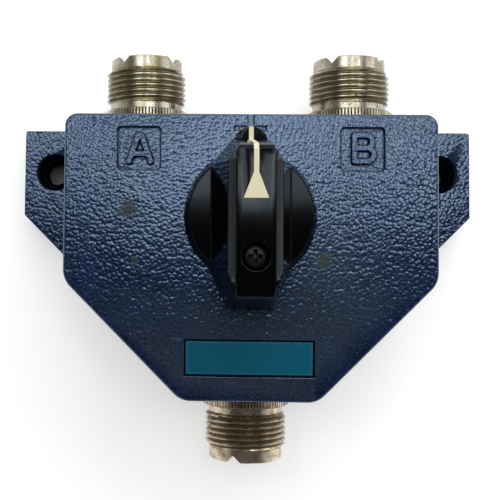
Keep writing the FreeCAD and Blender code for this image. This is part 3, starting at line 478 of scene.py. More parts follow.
@dataclass(frozen=True)
class HammeredEnamel(Finish):
    """Blue hammer-finish stove enamel, loaded with metal flake and sprayed on a rough die casting.

    The flake gives a strong blue sheen and the small lumps break it into many fine glints, so the face is
    bright where it mirrors the room and almost black where it doesn't. A chip is given by its place on the
    front face and its radius, and its range is in shares of that radius.
    """

    paint_hex: str = "#16284a"
    deep_hex: str = "#0a1226"
    thin_hex: str = "#39444f"
    bare_hex: str = "#3a3c2c"
    # painted shade colour for the ears' counterbores and the corners of the recesses
    grime_and_shade_hex: str = "#05070f"
    sheen_hex: str = "#a8d2ff"
    ior: float = 1.75
    roughness: Pair = (0.16, 0.6)
    lacquer: float = 0.4
    lacquer_roughness: float = 0.05
    dome_mm: float = 0.66
    dome_share: float = 2.0
    grain_mm: float = 0.5
    grain_share: float = 0.8
    wave_mm: float = 2.2
    wave_share: float = 1.5
    relief_mm: float = 0.018
    patch_mm: float = 7.0
    patch_share: float = 0.6
    tone_range: Pair = (0.6, 1.0)
    keen_range: Pair = (0.53, 0.66)
    chips: tuple[Point, ...] = ((-22.7, 8.66, 1.3), (-21.4, -1.0, 0.6), (13.6, -0.6, 1.2))
    chip_fray: float = -2.2
    chip_range: Pair = (0.5, -0.4)
    chip_cover: float = 0.7
    sink_radius: float = 3.98
    sink_blur: float = 0.1
    recess_mm: float = 0.6
    recess_range: Pair = (0.86, 0.66)
    recess_cover: float = 0.88

    def paint(self, add: Add, place: Socket) -> Sockets:
        """Builds the lumps, the blotchy paint, its wear and stains, and the painted shade in the
        counterbores and recess corners, which also takes the sheen off there.
        """
        grain, waves, patches = (
            add("TexNoise", {"Vector": place, "Scale": per_metre(size), "Detail": detail})
            for size, detail in ((self.grain_mm, 1.5), (self.wave_mm, 1.0), (self.patch_mm, 3.0))
        )
        domes = add("TexVoronoi", {"Vector": place, "Scale": per_metre(self.dome_mm)})
        domes = add("Math", {0: domes, 1: domes}, operation="MULTIPLY")
        height = add("Math", {0: grain, 1: self.grain_share}, operation="MULTIPLY")
        height = add("Math", {0: waves, 1: self.wave_share, 2: height}, operation="MULTIPLY_ADD")
        height = add("Math", {0: domes, 1: -self.dome_share, 2: height}, operation="MULTIPLY_ADD")
        bump = add("Bump", {"Height": height, "Strength": 1.0, "Distance": self.relief_mm * MM})
        tone = add("Math", {0: patches, 1: self.patch_share, 2: grain}, operation="MULTIPLY_ADD")
        tone = add("MapRange", {"Value": tone, **span(self.tone_range)})
        stained, recess_shade = self.chipped(add, place, grain), self.painted_recess_shade(add, place)
        layers = (
            (tone, self.paint_hex), (self.thin(add, grain), self.thin_hex), (stained, self.bare_hex),
            (recess_shade, self.grime_and_shade_hex),
        )
        # painted shade and stains both turn the enamel into dark metal without coat, so nothing is mirrored
        # there
        stain_and_shade = add("Math", {0: recess_shade, 1: stained}, operation="MAXIMUM")
        return {
            "Base Color": layered(add, self.deep_hex, *layers),
            "Metallic": stain_and_shade,
            "Roughness": add("MapRange", {"Value": stain_and_shade, **span(self.roughness, "To")}),
            "IOR": self.ior,
            "Specular Tint": linear(self.sheen_hex),
            "Coat Weight": add("MapRange", {"Value": stain_and_shade, **span((self.lacquer, 0.0), "To")}),
            "Coat Roughness": self.lacquer_roughness,
            "Normal": bump,
            "Coat Normal": bump,
        }

    def thin(self, add: Add, grain: Node) -> Node:
        """How thin the paint lies on an outer edge, from 0 to 1.

        Args:
            add: adds a node to the tree.
            grain: fine noise that breaks the wear up.

        Returns:
            The node with the mask.
        """
        keen = add("NewGeometry").outputs["Pointiness"]
        keen = add("MapRange", {"Value": keen, **span(self.keen_range)})
        return add("Math", {0: keen, 1: grain}, operation="MULTIPLY")

    def chipped(self, add: Add, place: Socket, grain: Node) -> Node:
        """Where the paint is chipped or stained, from 0 to 1.

        Args:
            add: adds a node to the tree.
            place: where a point lies on the piece.
            grain: fine noise that frays the chips' edges.

        Returns:
            The node with the mask.
        """
        mask = 0.0
        for x, y, radius in self.chips:
            centre = (x * MM, y * MM, FRONT * MM)
            away = add("VectorMath", {0: place, 1: centre}, operation="DISTANCE").outputs["Value"]
            fray = self.chip_fray * radius * MM
            frayed = add("Math", {0: grain, 1: fray, 2: away}, operation="MULTIPLY_ADD")
            ends = tuple(share * radius * MM for share in self.chip_range)
            spot = add("MapRange", {"Value": frayed, **span(ends), "To Max": self.chip_cover})
            mask = add("Math", {0: mask, 1: spot}, operation="MAXIMUM")
        return mask

    def painted_recess_shade(self, add: Add, place: Socket) -> Node:
        """Painted shade in the ears' counterbores and the corners of the recesses, from 0 to 1.

        Args:
            add: adds a node to the tree.
            place: where a point lies on the piece.

        Returns:
            The node with the mask.
        """
        ends = (self.sink_radius * MM, (self.sink_radius - self.sink_blur) * MM)
        sinks = add("MapRange", {"Value": from_ear_hole(add, place), **span(ends)})
        open_sky = add("AmbientOcclusion", {"Distance": self.recess_mm * MM}, samples=6).outputs["AO"]
        corners = {"Value": open_sky, **span(self.recess_range), "To Max": self.recess_cover}
        return add("Math", {0: sinks, 1: add("MapRange", corners)}, operation="MAXIMUM")


@dataclass(frozen=True)
class PlatedBrass(Finish):
    """Turned brass with a dull nickel or silver plating, yellowed by handling.

    Smooth lands mirror the room in soft bands, stains make them blotchy, and dirt fills the hollows.
    The hollows are marked in the mesh by the attribute "hollow".
    """

    plate_hex: str = "#aeac9f"
    tarnish_hex: str = "#958a6c"
    grime_and_shade_hex: str = "#6b6040"
    roughness: Pair = (0.16, 0.32)
    stain_mm: float = 2.6
    stain_range: Pair = (0.42, 0.66)
    dirt_share: float = 0.7
    dirt_range: Pair = (0.62, 1.25)
    dirt_start: float = 0.3
    dirt_metal: float = 0.6
    pit_mm: float = 0.8
    pit_range: Pair = (0.69, 0.75)
    lathe_mark_mm: Point = (6.0, 0.12, 6.0)
    lathe_mark_depth: float = 0.01

    def paint(self, add: Add, place: Socket) -> Sockets:
        """Builds the stains, the dirt in hollows and pits, and the marks of the lathe."""
        blotches = {"Vector": place, "Scale": per_metre(self.stain_mm), "Detail": 5.0, "Roughness": 0.6}
        stains = add("TexNoise", blotches)
        stained = add("MapRange", {"Value": stains, **span(self.stain_range)})
        hollow = add("Attribute", attribute_name="hollow", attribute_type="GEOMETRY").outputs["Fac"]
        dirt = add("Math", {0: stains, 1: self.dirt_share, 2: hollow}, operation="MULTIPLY_ADD")
        dirt = add("MapRange", {"Value": dirt, **span(self.dirt_range)})
        pits = add("TexNoise", {"Vector": place, "Scale": per_metre(self.pit_mm), "Detail": 1.0})
        pits = add("MapRange", {"Value": pits, **span(self.pit_range)})
        dirt = add("Math", {0: dirt, 1: pits}, operation="MAXIMUM")
        covered = {"Value": dirt, **span((self.dirt_start, 1.0)), **span((1.0, self.dirt_metal), "To")}
        gloss = {"Value": stains, **span(NOISE_REACH), **span(self.roughness, "To")}
        marks = drawn_out(add, place, self.lathe_mark_mm, 2.0)
        relief = {"Height": marks, "Strength": 0.35, "Distance": self.lathe_mark_depth * MM}
        return {
            "Base Color": layered(add, self.plate_hex, (stained, self.tarnish_hex), (dirt, self.grime_and_shade_hex)),
            "Metallic": add("MapRange", covered),
            "Roughness": add("MapRange", gloss),
            "Normal": add("Bump", relief),
        }


@dataclass(frozen=True)
class BareMetal(Finish):
    """Bare or thinly plated metal with the marks of its making: drawn, turned, rolled or stamped.

    Fine parallel marks spread the highlight across them, and faint stains vary the colour.
    """

    bright_hex: str = "#b9b9b6"
    stain_hex: str = "#8d8c86"
    roughness: Pair = (0.28, 0.43)
    metallic: float = 1.0
    stain_mm: float = 4.0
    stain_range: Pair = (0.38, 0.68)
    mark_mm: Point = (0.15, 5.0, 5.0)
    mark_depth: float = 0.012

    def paint(self, add: Add, place: Socket) -> Sockets:
        """Builds the stains and the marks."""
        stains = add("TexNoise", {"Vector": place, "Scale": per_metre(self.stain_mm), "Detail": 5.0})
        stained = add("MapRange", {"Value": stains, **span(self.stain_range)})
        marks = drawn_out(add, place, self.mark_mm, 3.0)
        gloss = {"Value": marks, **span(NOISE_REACH), **span(self.roughness, "To")}
        relief = {"Height": marks, "Strength": 0.4, "Distance": self.mark_depth * MM}
        return {
            "Base Color": layered(add, self.bright_hex, (stained, self.stain_hex)),
            "Metallic": self.metallic,
            "Roughness": add("MapRange", gloss),
            "Normal": add("Bump", relief),
        }


@dataclass(frozen=True)
class MouldedPlastic(Finish):
    """Plastic pressed in a polished mould, with faint sink waves, dust and hair scratches.

    It mirrors the room clearly but not perfectly, and handling leaves it a little uneven.
    """

    colour_hex: str = "#040506"
    dust_hex: str = "#2a2d2f"
    roughness: Pair = (0.07, 0.11)
    ior: float = 1.5
    sheen: float = 0.5
    sheen_hex: str = "#e6f4ff"
    wave_mm: float = 5.0
    wave_depth: float = 0.012
    dust_mm: float = 0.25
    dust_reach: Pair = (0.3, 0.8)
    dust_range: Pair = (0.66, 0.8)
    dust_cover: float = 0.5
    scratch_mm: Point = (0.1, 2.5, 1.0)
    scratch_share: float = 0.06

    def paint(self, add: Add, place: Socket) -> Sockets:
        """Builds the dust, the waves and the scratches."""
        waves = add("TexNoise", {"Vector": place, "Scale": per_metre(self.wave_mm), "Detail": 1.0})
        specks = {"Vector": place, "Scale": per_metre(self.dust_mm), "Detail": 3.0, "Roughness": 0.7}
        dust = add("TexNoise", specks)
        dusty = add("MapRange", {"Value": dust, **span(self.dust_range), "To Max": self.dust_cover})
        gloss = {"Value": dust, **span(self.dust_reach), **span(self.roughness, "To")}
        scratches = drawn_out(add, place, self.scratch_mm, 1.0)
        height = {0: scratches, 1: self.scratch_share, 2: waves}
        height = add("Math", height, operation="MULTIPLY_ADD")
        relief = {"Height": height, "Strength": 0.5, "Distance": self.wave_depth * MM}
        return {
            "Base Color": layered(add, self.colour_hex, (dusty, self.dust_hex)),
            "Roughness": add("MapRange", gloss),
            "IOR": self.ior,
            "Specular IOR Level": self.sheen,
            "Specular Tint": linear(self.sheen_hex),
            "Normal": add("Bump", relief),
        }


@dataclass(frozen=True)
class LabelPlate(Finish):
    """Thin aluminium plate with a teal enamel face, a little faded towards its rim.

    A satin sheet with a fine roller grain, so it shines evenly in one direction.
    """

    face_hex: str = "#02566e"
    faded_hex: str = "#1c6a7c"
    roughness: float = 0.32
    ior: float = 1.5
    sheen: float = 0.16
    half: Pair = (11.7, 3.05)
    centre: Pair = (0.0, -18.7)
    rim_mm: float = 0.55
    cloud_mm: float = 3.5
    cloud_share: float = 0.5
    fade_range: Pair = (0.25, 1.2)
    grain_mm: Point = (3.0, 0.12, 1.0)
    grain_depth: float = 0.01

    def paint(self, add: Add, place: Socket) -> Sockets:
        """Builds the faded rim, the clouds in the enamel and the roller grain."""
        parts = add("SeparateXYZ", {"Vector": place}).outputs
        rims = []
        for axis, half, centre in zip(("X", "Y"), self.half, self.centre):
            away = add("Math", {0: parts[axis], 1: centre * MM}, operation="SUBTRACT")
            away = add("Math", {0: away}, operation="ABSOLUTE")
            ends = ((half - self.rim_mm) * MM, half * MM)
            rims.append(add("MapRange", {"Value": away, **span(ends)}))
        rim = add("Math", dict(enumerate(rims)), operation="MAXIMUM")
        cloud = add("TexNoise", {"Vector": place, "Scale": per_metre(self.cloud_mm), "Detail": 4.0})
        fade = add("Math", {0: cloud, 1: self.cloud_share, 2: rim}, operation="MULTIPLY_ADD")
        fade = add("MapRange", {"Value": fade, **span(self.fade_range)})
        grain = drawn_out(add, place, self.grain_mm, 3.0)
        relief = {"Height": grain, "Strength": 0.3, "Distance": self.grain_depth * MM}
        return {
            "Base Color": layered(add, self.face_hex, (fade, self.faded_hex)),
            "Roughness": self.roughness,
            "IOR": self.ior,
            "Specular IOR Level": self.sheen,
            "Normal": add("Bump", relief),
        }


ALONG_Z = (5.0, 5.0, 0.15)  # rings round a turned bar, lines across a rolled strip

ENAMEL = HammeredEnamel("hammered_stove_enamel")
NICKEL = PlatedBrass("nickel_plated_brass")
WORN_NICKEL = PlatedBrass(
    "nickel_worn_through", plate_hex="#dccfbb", tarnish_hex="#a28e74", grime_and_shade_hex="#5c4e36", stain_mm=1.5
)
CONTACT = PlatedBrass(
    "silvered_contact_brass", plate_hex="#cbbf9d", tarnish_hex="#8a7a55", roughness=(0.3, 0.46),
    stain_mm=1.4,
)
BLADE = BareMetal(
    "silvered_switch_brass", bright_hex="#cdbf95", stain_hex="#97855a", mark_mm=(0.15, 0.15, 5.0)
)
BRONZE = BareMetal("rolled_phosphor_bronze", bright_hex="#b98a5a", stain_hex="#8a5f3b", mark_mm=ALONG_Z)
STEEL = BareMetal("turned_steel", bright_hex="#a9aaaa", stain_hex="#7f7e7b", mark_mm=ALONG_Z)
BRASS = BareMetal("turned_brass", bright_hex="#c8a45c", stain_hex="#957338", mark_mm=ALONG_Z)
ZINC = BareMetal(
    "zinc_plated_sheet", bright_hex="#b4b3ab", stain_hex="#928f80", roughness=(0.34, 0.49),
    mark_mm=(0.2, 5.0, 5.0),
)
BLACKED = BareMetal(
    "blackened_steel", bright_hex="#1b1b1c", stain_hex="#2a2825", roughness=(0.3, 0.45), metallic=0.6
)
KNOB_PLASTIC = MouldedPlastic("black_moulded_phenolic", sheen=0.16)
CREAM = MouldedPlastic("cream_filling", colour_hex="#e9e1be", dust_hex="#8f8665", roughness=(0.42, 0.46))
FLUOROPOLYMER = MouldedPlastic(
    "fluoropolymer", colour_hex="#ddd6c6", dust_hex="#a79c84", roughness=(0.38, 0.42), ior=1.38, wave_mm=1.0
)
RESIN = MouldedPlastic(
    "brown_phenolic_resin", colour_hex="#4d2e1b", dust_hex="#7b5b40", roughness=(0.35, 0.39)
)
TEAL_PLATE = LabelPlate("teal_enamelled_aluminium")


# ----- The object's sub-assemblies -----


@dataclass
class Casting:
    """The enamelled die casting with its raised letters and the mark for the earthed position."""

    edge_break: float = 0.14
    front_edge: float = 1.0
    rear_edge: float = 0.2
    ear_start: float = 33.0
    ear_levels: Pair = (3.0, 8.5)
    ear_sink: float = 4.5
    centre_a: Pair = (-20.65, 20.07)
    centre_b: Pair = (21.1, 20.28)
    letter_root: float = 27.05
    letter_top: float = 27.93
    letter_stroke: float = 0.46
    letter_foot: float = 0.66
    letter_grain: float = 0.08
    letter_soften: float = 0.5
    letter_passes: int = 3
    mark_depth: float = 0.75
    mark_stem: Pair = (-0.63, 0.76)
    mark_stem_end: float = 28.0
    mark_bar_half: float = 3.12
    mark_bar: Pair = (23.4, 24.5)

    def build(self, frame: Frame) -> None:
        """Makes the casting and its letters.

        Args:
            frame: the loaded frame.
        """
        casting = softened_copy(frame, "housing", "housing_cast", self.edge_break, self.outer_edge)
        cut_away(casting, self.mark_cutter())
        even_normals(casting)
        report_piece(casting, Body.CASE, ENAMEL, ["housing"])
        letters = (("a", self.centre_a, self.letter_a()), ("b", self.centre_b, self.letter_b()))
        for name, centre, strokes in letters:
            letter = self.letter("port_letter_" + name, centre, strokes)
            report_piece(letter, Body.CASE, ENAMEL)

    def outer_edge(self, place: Vector) -> bool:
        """Whether edges are rounded by the enamel here.

        Args:
            place: a place on the casting, in millimetres.

        Returns:
            True on the rims of the front and the rear, and on the ears outside their counterbores.
        """
        low, high = self.ear_levels
        in_sink = math.hypot(abs(place.x) - EAR_HOLE[0], place.y - EAR_HOLE[1]) < self.ear_sink
        on_ear = abs(place.x) > self.ear_start and low < place.z < high and not in_sink
        return place.z > FRONT - self.front_edge or on_ear or place.z < self.rear_edge

    def mark_cutter(self) -> Piece:
        """The cutter for the sunk mark at the middle position: a stem and a bar."""
        left, right = self.mark_stem
        bottom, top = self.mark_bar
        half, end = self.mark_bar_half, self.mark_stem_end
        outline = [
            (-half, bottom), (half, bottom), (half, top), (right, top), (right, end), (left, end),
            (left, top), (-half, top),
        ]
        draft = bmesh.new()
        loft(draft, ((FRONT - self.mark_depth, outline), (FRONT + 1.0, outline)))
        return mesh_object("mark_cutter", draft, Shading.FLAT)

    def letter_a(self) -> list[list[Pair]]:
        """Strokes of the letter A, round its centre, in millimetres."""
        return [[(-2.05, -2.47), (-0.3, 2.47), (0.3, 2.47), (2.05, -2.47)], [(-1.45, -1.0), (1.45, -1.0)]]

    def letter_b(self) -> list[list[Pair]]:
        """Strokes of the letter B, round its centre, in millimetres."""
        stem, bowl = -1.8, 0.5
        arc = [math.radians(90.0 - 22.5 * step) for step in range(9)]
        strokes = [[(stem, -2.43), (stem, 2.45)]]
        for centre, across, along in ((1.26, 1.0, 1.19), (-1.18, 1.3, 1.25)):
            round_end = [
                (bowl + across * math.cos(angle), centre + along * math.sin(angle)) for angle in arc
            ]
            strokes.append([(stem, centre + along), *round_end, (stem, centre - along)])
        return strokes

    def letter(self, name: str, centre: Pair, strokes: list[list[Pair]]) -> Piece:
        """One raised letter with flat faces, its strokes run together as in a casting.

        Args:
            name: name of the piece.
            centre: its centre on the front face.
            strokes: lines round that centre.

        Returns:
            The piece.
        """
        draft = bmesh.new()
        for stroke in strokes:
            placed = [(centre[0] + x, centre[1] + y) for x, y in stroke]
            for start, end in zip(placed, placed[1:]):
                foot = capsule(start, end, self.letter_foot)
                face = capsule(start, end, self.letter_stroke)
                loft(draft, ((self.letter_root, foot), (self.letter_top, face)))
        piece = mesh_object(name, draft, Shading.FLAT)
        fuse = piece.modifiers.new("run_together", "REMESH")
        fuse.mode = "VOXEL"
        fuse.voxel_size = self.letter_grain * MM
        soften = piece.modifiers.new("soften", "SMOOTH")
        soften.factor = self.letter_soften
        soften.iterations = self.letter_passes
        apply_modifiers(piece)
        for face in piece.data.polygons:
            face.use_smooth = True
        return piece


@dataclass(frozen=True)
class Port:
    """Where one connector sits, how its notches are turned and what covers it."""

    name: str
    x: float
    wall_y: float
    outward: float
    notch_turn: float
    finish: Finish
    height: float = 13.5

    def frame(self) -> Matrix:
        """Turns and moves the connector's own axes, with Z out of the wall, into the scene's."""
        if self.outward > 0.0:
            axes = ((0.0, 0.0, 1.0), (1.0, 0.0, 0.0), (0.0, 1.0, 0.0))
        else:
            axes = ((1.0, 0.0, 0.0), (0.0, 0.0, 1.0), (0.0, -1.0, 0.0))
        turned = Matrix([Vector(axis) for axis in axes]).transposed().to_4x4()
        return Matrix.Translation(Vector((self.x, self.wall_y, self.height)) * MM) @ turned


@dataclass
class Connector:
    """One screw-on connector: knurled collar, neck, thread and notched tip.

    It is skinned from rows that run once round the axis, each a list of radius, level, dirt and column.
    """

    port: Port
    teeth: int = 84
    columns_per_tooth: int = 4
    tooth_depth: float = 0.32
    tooth_dirt: float = 0.9
    collar_radius: float = 8.5
    collar_length: float = 2.35
    neck_radius: float = 7.3
    neck_fillet: float = 0.15
    neck_dirt: tuple[Pair, ...] = ((0.15, 0.5), (0.5, 0.0))
    undercut: float = 0.3
    thread_start: float = 3.7
    thread_end: float = 10.5
    thread_radius: float = 7.9375
    threads_per_inch: float = 24.0
    thread_share: float = 0.54
    thread_phases: tuple[float, ...] = (0.0, 0.14, 0.48, 0.64)
    thread_lead: float = 1.4
    thread_dirt: float = 0.8
    tip_radius: float = 7.15
    tip_fillet: float = 0.25
    rim: float = 12.9
    bore_radius: float = 6.2
    bore_dirt: tuple[Pair, ...] = ((9.0, 0.1), (3.0, 0.6))
    shank_radius: float = 7.0
    shank_end: float = -2.8
    notch_half_width: float = 1.45
    notch_floor_half_width: float = 0.15
    notch_depth: float = 1.2
    edge: float = 0.18
    notches: int = 4
    crisp_degrees: float = 24.0

    @property
    def columns(self) -> int:
        """Number of mesh columns round the axis."""
        return self.teeth * self.columns_per_tooth

    @property
    def pitch(self) -> float:
        """Thread pitch in millimetres."""
        return INCH / self.threads_per_inch

    def build(self) -> None:
        """Makes the shell and reports it."""
        draft = bmesh.new()
        hollow = draft.verts.layers.float.new("hollow")
        rings = []
        for row in self.rows():
            ring = []
            for radius, level, dirt, column in row:
                angle = TURN * column / self.columns
                vertex = corner(draft, radius * math.cos(angle), radius * math.sin(angle), level)
                vertex[hollow] = dirt
                ring.append(vertex)
            rings.append(ring)
        skin(draft, rings + rings[:1], closed=False)
        bmesh.ops.remove_doubles(draft, verts=draft.verts, dist=SHELL_MERGE)
        bmesh.ops.dissolve_degenerate(draft, edges=draft.edges, dist=SHELL_MERGE)
        bmesh.ops.transform(draft, matrix=self.port.frame(), verts=draft.verts)
        shell = mesh_object("shell_%s_turned" % self.port.name, draft, Shading.SMOOTH)
        shell.data.set_sharp_from_angle(angle=math.radians(self.crisp_degrees))
        report_piece(shell, Body.CASE, self.port.finish, ["shell_" + self.port.name])

    def rows(self) -> list[Row]:
        """All rows, from the shank's inner end over the outside and back down the bore."""
        neck = self.neck_radius
        return [
            self.plain(self.bore_radius, self.shank_end),
            self.plain(self.shank_radius, self.shank_end),
            self.plain(self.shank_radius, 0.0),
            self.plain(self.collar_radius - self.tooth_depth, 0.0),
            *self.collar_rows(),
            self.plain(neck + self.neck_fillet, self.collar_length, self.tooth_dirt),
            *(self.plain(neck, self.collar_length + reach, dirt) for reach, dirt in self.neck_dirt),
            self.plain(neck, self.thread_start - self.undercut),
            self.plain(neck, self.thread_start, self.thread_dirt),
            *self.thread_rows(),
            *self.tip_rows(),
        ]

    def plain(self, radius: float, level: float, dirt: float = 0.0) -> Row:
        """A row of one radius at one level."""
        return [(radius, level, dirt, column) for column in range(self.columns + 1)]

    def collar_rows(self) -> list[Row]:
        """The straight-knurled collar, with a broken edge at either end."""
        root = self.collar_radius - self.tooth_depth
        rows = []
        for level, crest in (
            (self.edge, self.collar_radius),
            (self.collar_length - self.edge, self.collar_radius),
            (self.collar_length, root),
        ):
            row = []
            for column in range(self.columns + 1):
                in_gap = column % self.columns_per_tooth == self.columns_per_tooth - 1
                row.append((root if in_gap else crest, level, self.tooth_dirt if in_gap else 0.0, column))
            rows.append(row)
        return rows

    def thread_rows(self) -> list[Row]:
        """Rows that climb along the thread's helix, cut off square at both of its ends."""
        crest = self.thread_radius
        root = crest - self.thread_share * self.pitch
        shape = tuple(zip(self.thread_phases, (crest, crest, root, root), (0.0, 0.0, 1.0, 1.0)))
        turns = int((self.thread_end - self.thread_start) / self.pitch) + 2
        rows = []
        for turn in range(-1, turns):
            for phase, radius, dirt in shape:
                row = []
                for column in range(self.columns + 1):
                    level = self.thread_start + (turn + phase + column / self.columns) * self.pitch
                    level = min(max(level, self.thread_start), self.thread_end)
                    start_limit = self.neck_radius + (level - self.thread_start) * self.thread_lead
                    end_limit = self.tip_radius + (self.thread_end - level) * self.thread_lead
                    row.append((min(radius, start_limit, end_limit), level, dirt, column))
                rows.append(row)
        return rows

    def rim_at(self, column: int) -> float:
        """Level of the notched rim.

        Args:
            column: the mesh column.

        Returns:
            The level in millimetres.
        """
        angle = TURN * column / self.columns
        spacing = TURN / self.notches
        turn = math.radians(self.port.notch_turn)
        away = abs((angle - turn + spacing / 2.0) % spacing - spacing / 2.0) * self.tip_radius
        flank = (self.notch_half_width - away) / (self.notch_half_width - self.notch_floor_half_width)
        return self.rim - self.notch_depth * min(max(flank, 0.0), 1.0)

    def tip_rows(self) -> list[Row]:
        """The smooth tip, its notched rim and the bore."""
        rim_rows = [
            [(radius, self.rim_at(column) - drop, 0.0, column) for column in range(self.columns + 1)]
            for radius, drop in (
                (self.tip_radius, self.edge),
                (self.tip_radius - self.edge, 0.0),
                (self.bore_radius + self.edge, 0.0),
                (self.bore_radius, self.edge),
            )
        ]
        return [
            self.plain(self.tip_radius, self.thread_end, self.thread_dirt),
            self.plain(self.tip_radius, self.thread_end + self.tip_fillet),
            *rim_rows,
            *(self.plain(self.bore_radius, level, dirt) for level, dirt in self.bore_dirt),
        ]


@dataclass(frozen=True)
class CrossRecess:
    """The cross recess of a screw: its size over the arms, an arm's width, and the depth."""

    size: float
    arm_width: float
    depth: float
    sections: tuple[Point, ...] = ((1.08, 0.5, 0.0), (1.0, 0.0, 0.0), (0.42, 0.0, -1.0))

    def cutter(self, level: float, upward: float) -> Piece:
        """A tapered cross on the scene's Z axis that cuts the recess.

        Args:
            level: level of the head's face.
            upward: 1 when the face looks up, -1 when it looks down.

        Returns:
            The cutter. A section is a share of the size, a height, and a share of the depth added to it.
        """
        arm, half = self.size / 2.0, self.arm_width / 2.0
        outline = [
            (arm, -half), (arm, half), (half, half), (half, arm), (-half, arm), (-half, half),
            (-arm, half), (-arm, -half), (-half, -half), (-half, -arm), (half, -arm), (half, -half),
        ]
        draft = bmesh.new()
        loft(draft, [
            (level + upward * (height + down * self.depth), [(x * share, y * share) for x, y in outline])
            for share, height, down in self.sections
        ])
        return mesh_object("cross_cutter", draft, Shading.FLAT)


@dataclass
class Knob:
    """The lever knob with its pointer line and the screw that holds it.

    The screw's dome is given in shares of its radius and in depths below its top.
    """

    edge_break: float = 0.2
    sharp_degrees: float = 20.0
    base: float = 28.6
    base_clear: float = 0.05
    tab_top: float = 30.9
    line_reach: Pair = (2.4, 9.2)
    line_depth: float = 0.6
    nose_level: float = 47.0
    nose_start: float = 15.6
    screw_radius: float = 2.2
    screw_seat: float = 45.5
    screw_top: float = 47.2
    screw_dome: tuple[Pair, ...] = ((1.0, 0.9), (0.9, 0.4), (0.7, 0.12), (0.0, 0.0))
    shank_radius: float = 1.25
    shank_bottom: float = 35.5
    recess: CrossRecess = CrossRecess(2.5, 0.7, 1.0)

    def build(self, frame: Frame) -> None:
        """Makes the knob and its screw, and dresses the pointer line.

        Args:
            frame: the loaded frame.
        """
        lever = softened_copy(
            frame, "knob", "lever_knob", self.edge_break, self.free_edge, self.sharp_degrees
        )
        report_piece(lever, Body.SELECTOR, KNOB_PLASTIC, ["knob"])
        dress_node(frame, "pointer_line", CREAM)
        profile = [
            (0.0, self.shank_bottom),
            (self.shank_radius, self.shank_bottom),
            (self.shank_radius, self.screw_seat),
            (self.screw_radius, self.screw_seat),
            *((self.screw_radius * share, self.screw_top - drop) for share, drop in self.screw_dome),
        ]
        screw = turned_piece("knob_screw_head", profile)
        cut_away(screw, self.recess.cutter(self.screw_top, 1.0))
        screw.data.set_sharp_from_angle(angle=SCREW_CRISP)
        report_piece(screw, Body.SELECTOR, BLACKED, ["knob_screw"])

    def free_edge(self, place: Vector) -> bool:
        """Whether an edge of the knob is broken here.

        Args:
            place: a place on the knob, in millimetres.

        Returns:
            True above the base, apart from the edges beside the line and those on the nose.
        """
        reach_x, reach_y = self.line_reach
        on_tab = place.z > self.tab_top - self.line_depth
        by_line = abs(place.x) < reach_x and place.y > reach_y and on_tab
        on_nose = place.z > self.nose_level and place.y > self.nose_start
        return place.z > self.base + self.base_clear and not by_line and not on_nose


@dataclass
class RearPlate:
    """The rear cover and its four countersunk screws."""

    edge_break: float = 0.12
    outer_level: float = 0.1
    screws: tuple[Pair, ...] = ((28.4, 19.4), (-28.4, 19.4), (19.4, -11.6), (-19.4, -11.6))
    head_radius: float = 2.85
    head_edge: float = 0.1
    cone: float = 1.4
    shank_radius: float = 1.45
    length: float = 8.0
    point: float = 0.4
    columns: int = 40
    recess: CrossRecess = CrossRecess(2.9, 0.8, 1.2)

    def build(self, frame: Frame) -> None:
        """Makes the cover and the group of screws.

        Args:
            frame: the loaded frame.
        """
        cover = softened_copy(
            frame, "rear_cover", "rear_cover_sheet", self.edge_break, lambda at: at.z < self.outer_level
        )
        report_piece(cover, Body.CASE, ZINC, ["rear_cover"])
        profile = [
            (0.0, 0.0),
            (self.head_radius - self.head_edge, 0.0),
            (self.head_radius, self.head_edge),
            (self.shank_radius, self.cone),
            (self.shank_radius, self.length - self.point),
            (self.shank_radius - self.point, self.length),
            (0.0, self.length),
        ]
        draft = bmesh.new()
        for x, y in self.screws:
            screw = turned_piece("cover_screw", profile, self.columns)
            cut_away(screw, self.recess.cutter(0.0, -1.0))
            screw.data.transform(Matrix.Translation(Vector((x, y, 0.0)) * MM))
            draft.from_mesh(screw.data)
            bpy.data.objects.remove(screw)
        screws = mesh_object("cover_screw_set", draft, Shading.SMOOTH)
        screws.data.set_sharp_from_angle(angle=SCREW_CRISP)
        report_piece(screws, Body.CASE, ZINC, ["cover_screws"])


@dataclass
class Label:
    """The bare plate in the recess below the knob."""

    edge_break: float = 0.12
    face_level: float = 27.3

    def build(self, frame: Frame) -> None:
        """Makes the plate, with the edges of its face broken.

        Args:
            frame: the loaded frame.
        """
        plate = softened_copy(
            frame, "label_plate", "bare_label", self.edge_break, lambda at: at.z > self.face_level
        )
        report_piece(plate, Body.CASE, TEAL_PLATE, ["label_plate"])


@dataclass
class Works:
    """Everything inside or behind, which keeps the frame's shapes and gets its finish here."""

    finishes: tuple[tuple[Finish, tuple[str, ...]], ...] = (
        (FLUOROPOLYMER, ("insulator_a", "insulator_b", "insulator_common")),
        (CONTACT, ("contact_a", "contact_b", "contact_common")),
        (BRONZE, ("clip_a", "clip_b", "ground_clip", "common_finger")),
        (STEEL, ("stop_pin", "shaft", "stop_disc", "retaining_ring")),
        (BRASS, ("bushing",)),
        (BLADE, ("ground_plate", "rotor_blade", "rotor_stud")),
        (RESIN, ("rotor",)),
    )

    def dress(self, frame: Frame) -> None:
        """Gives each of these nodes its finish.

        Args:
            frame: the loaded frame.
        """
        for finish, nodes in self.finishes:
            for node in nodes:
                dress_node(frame, node, finish)


# ----- Studio -----


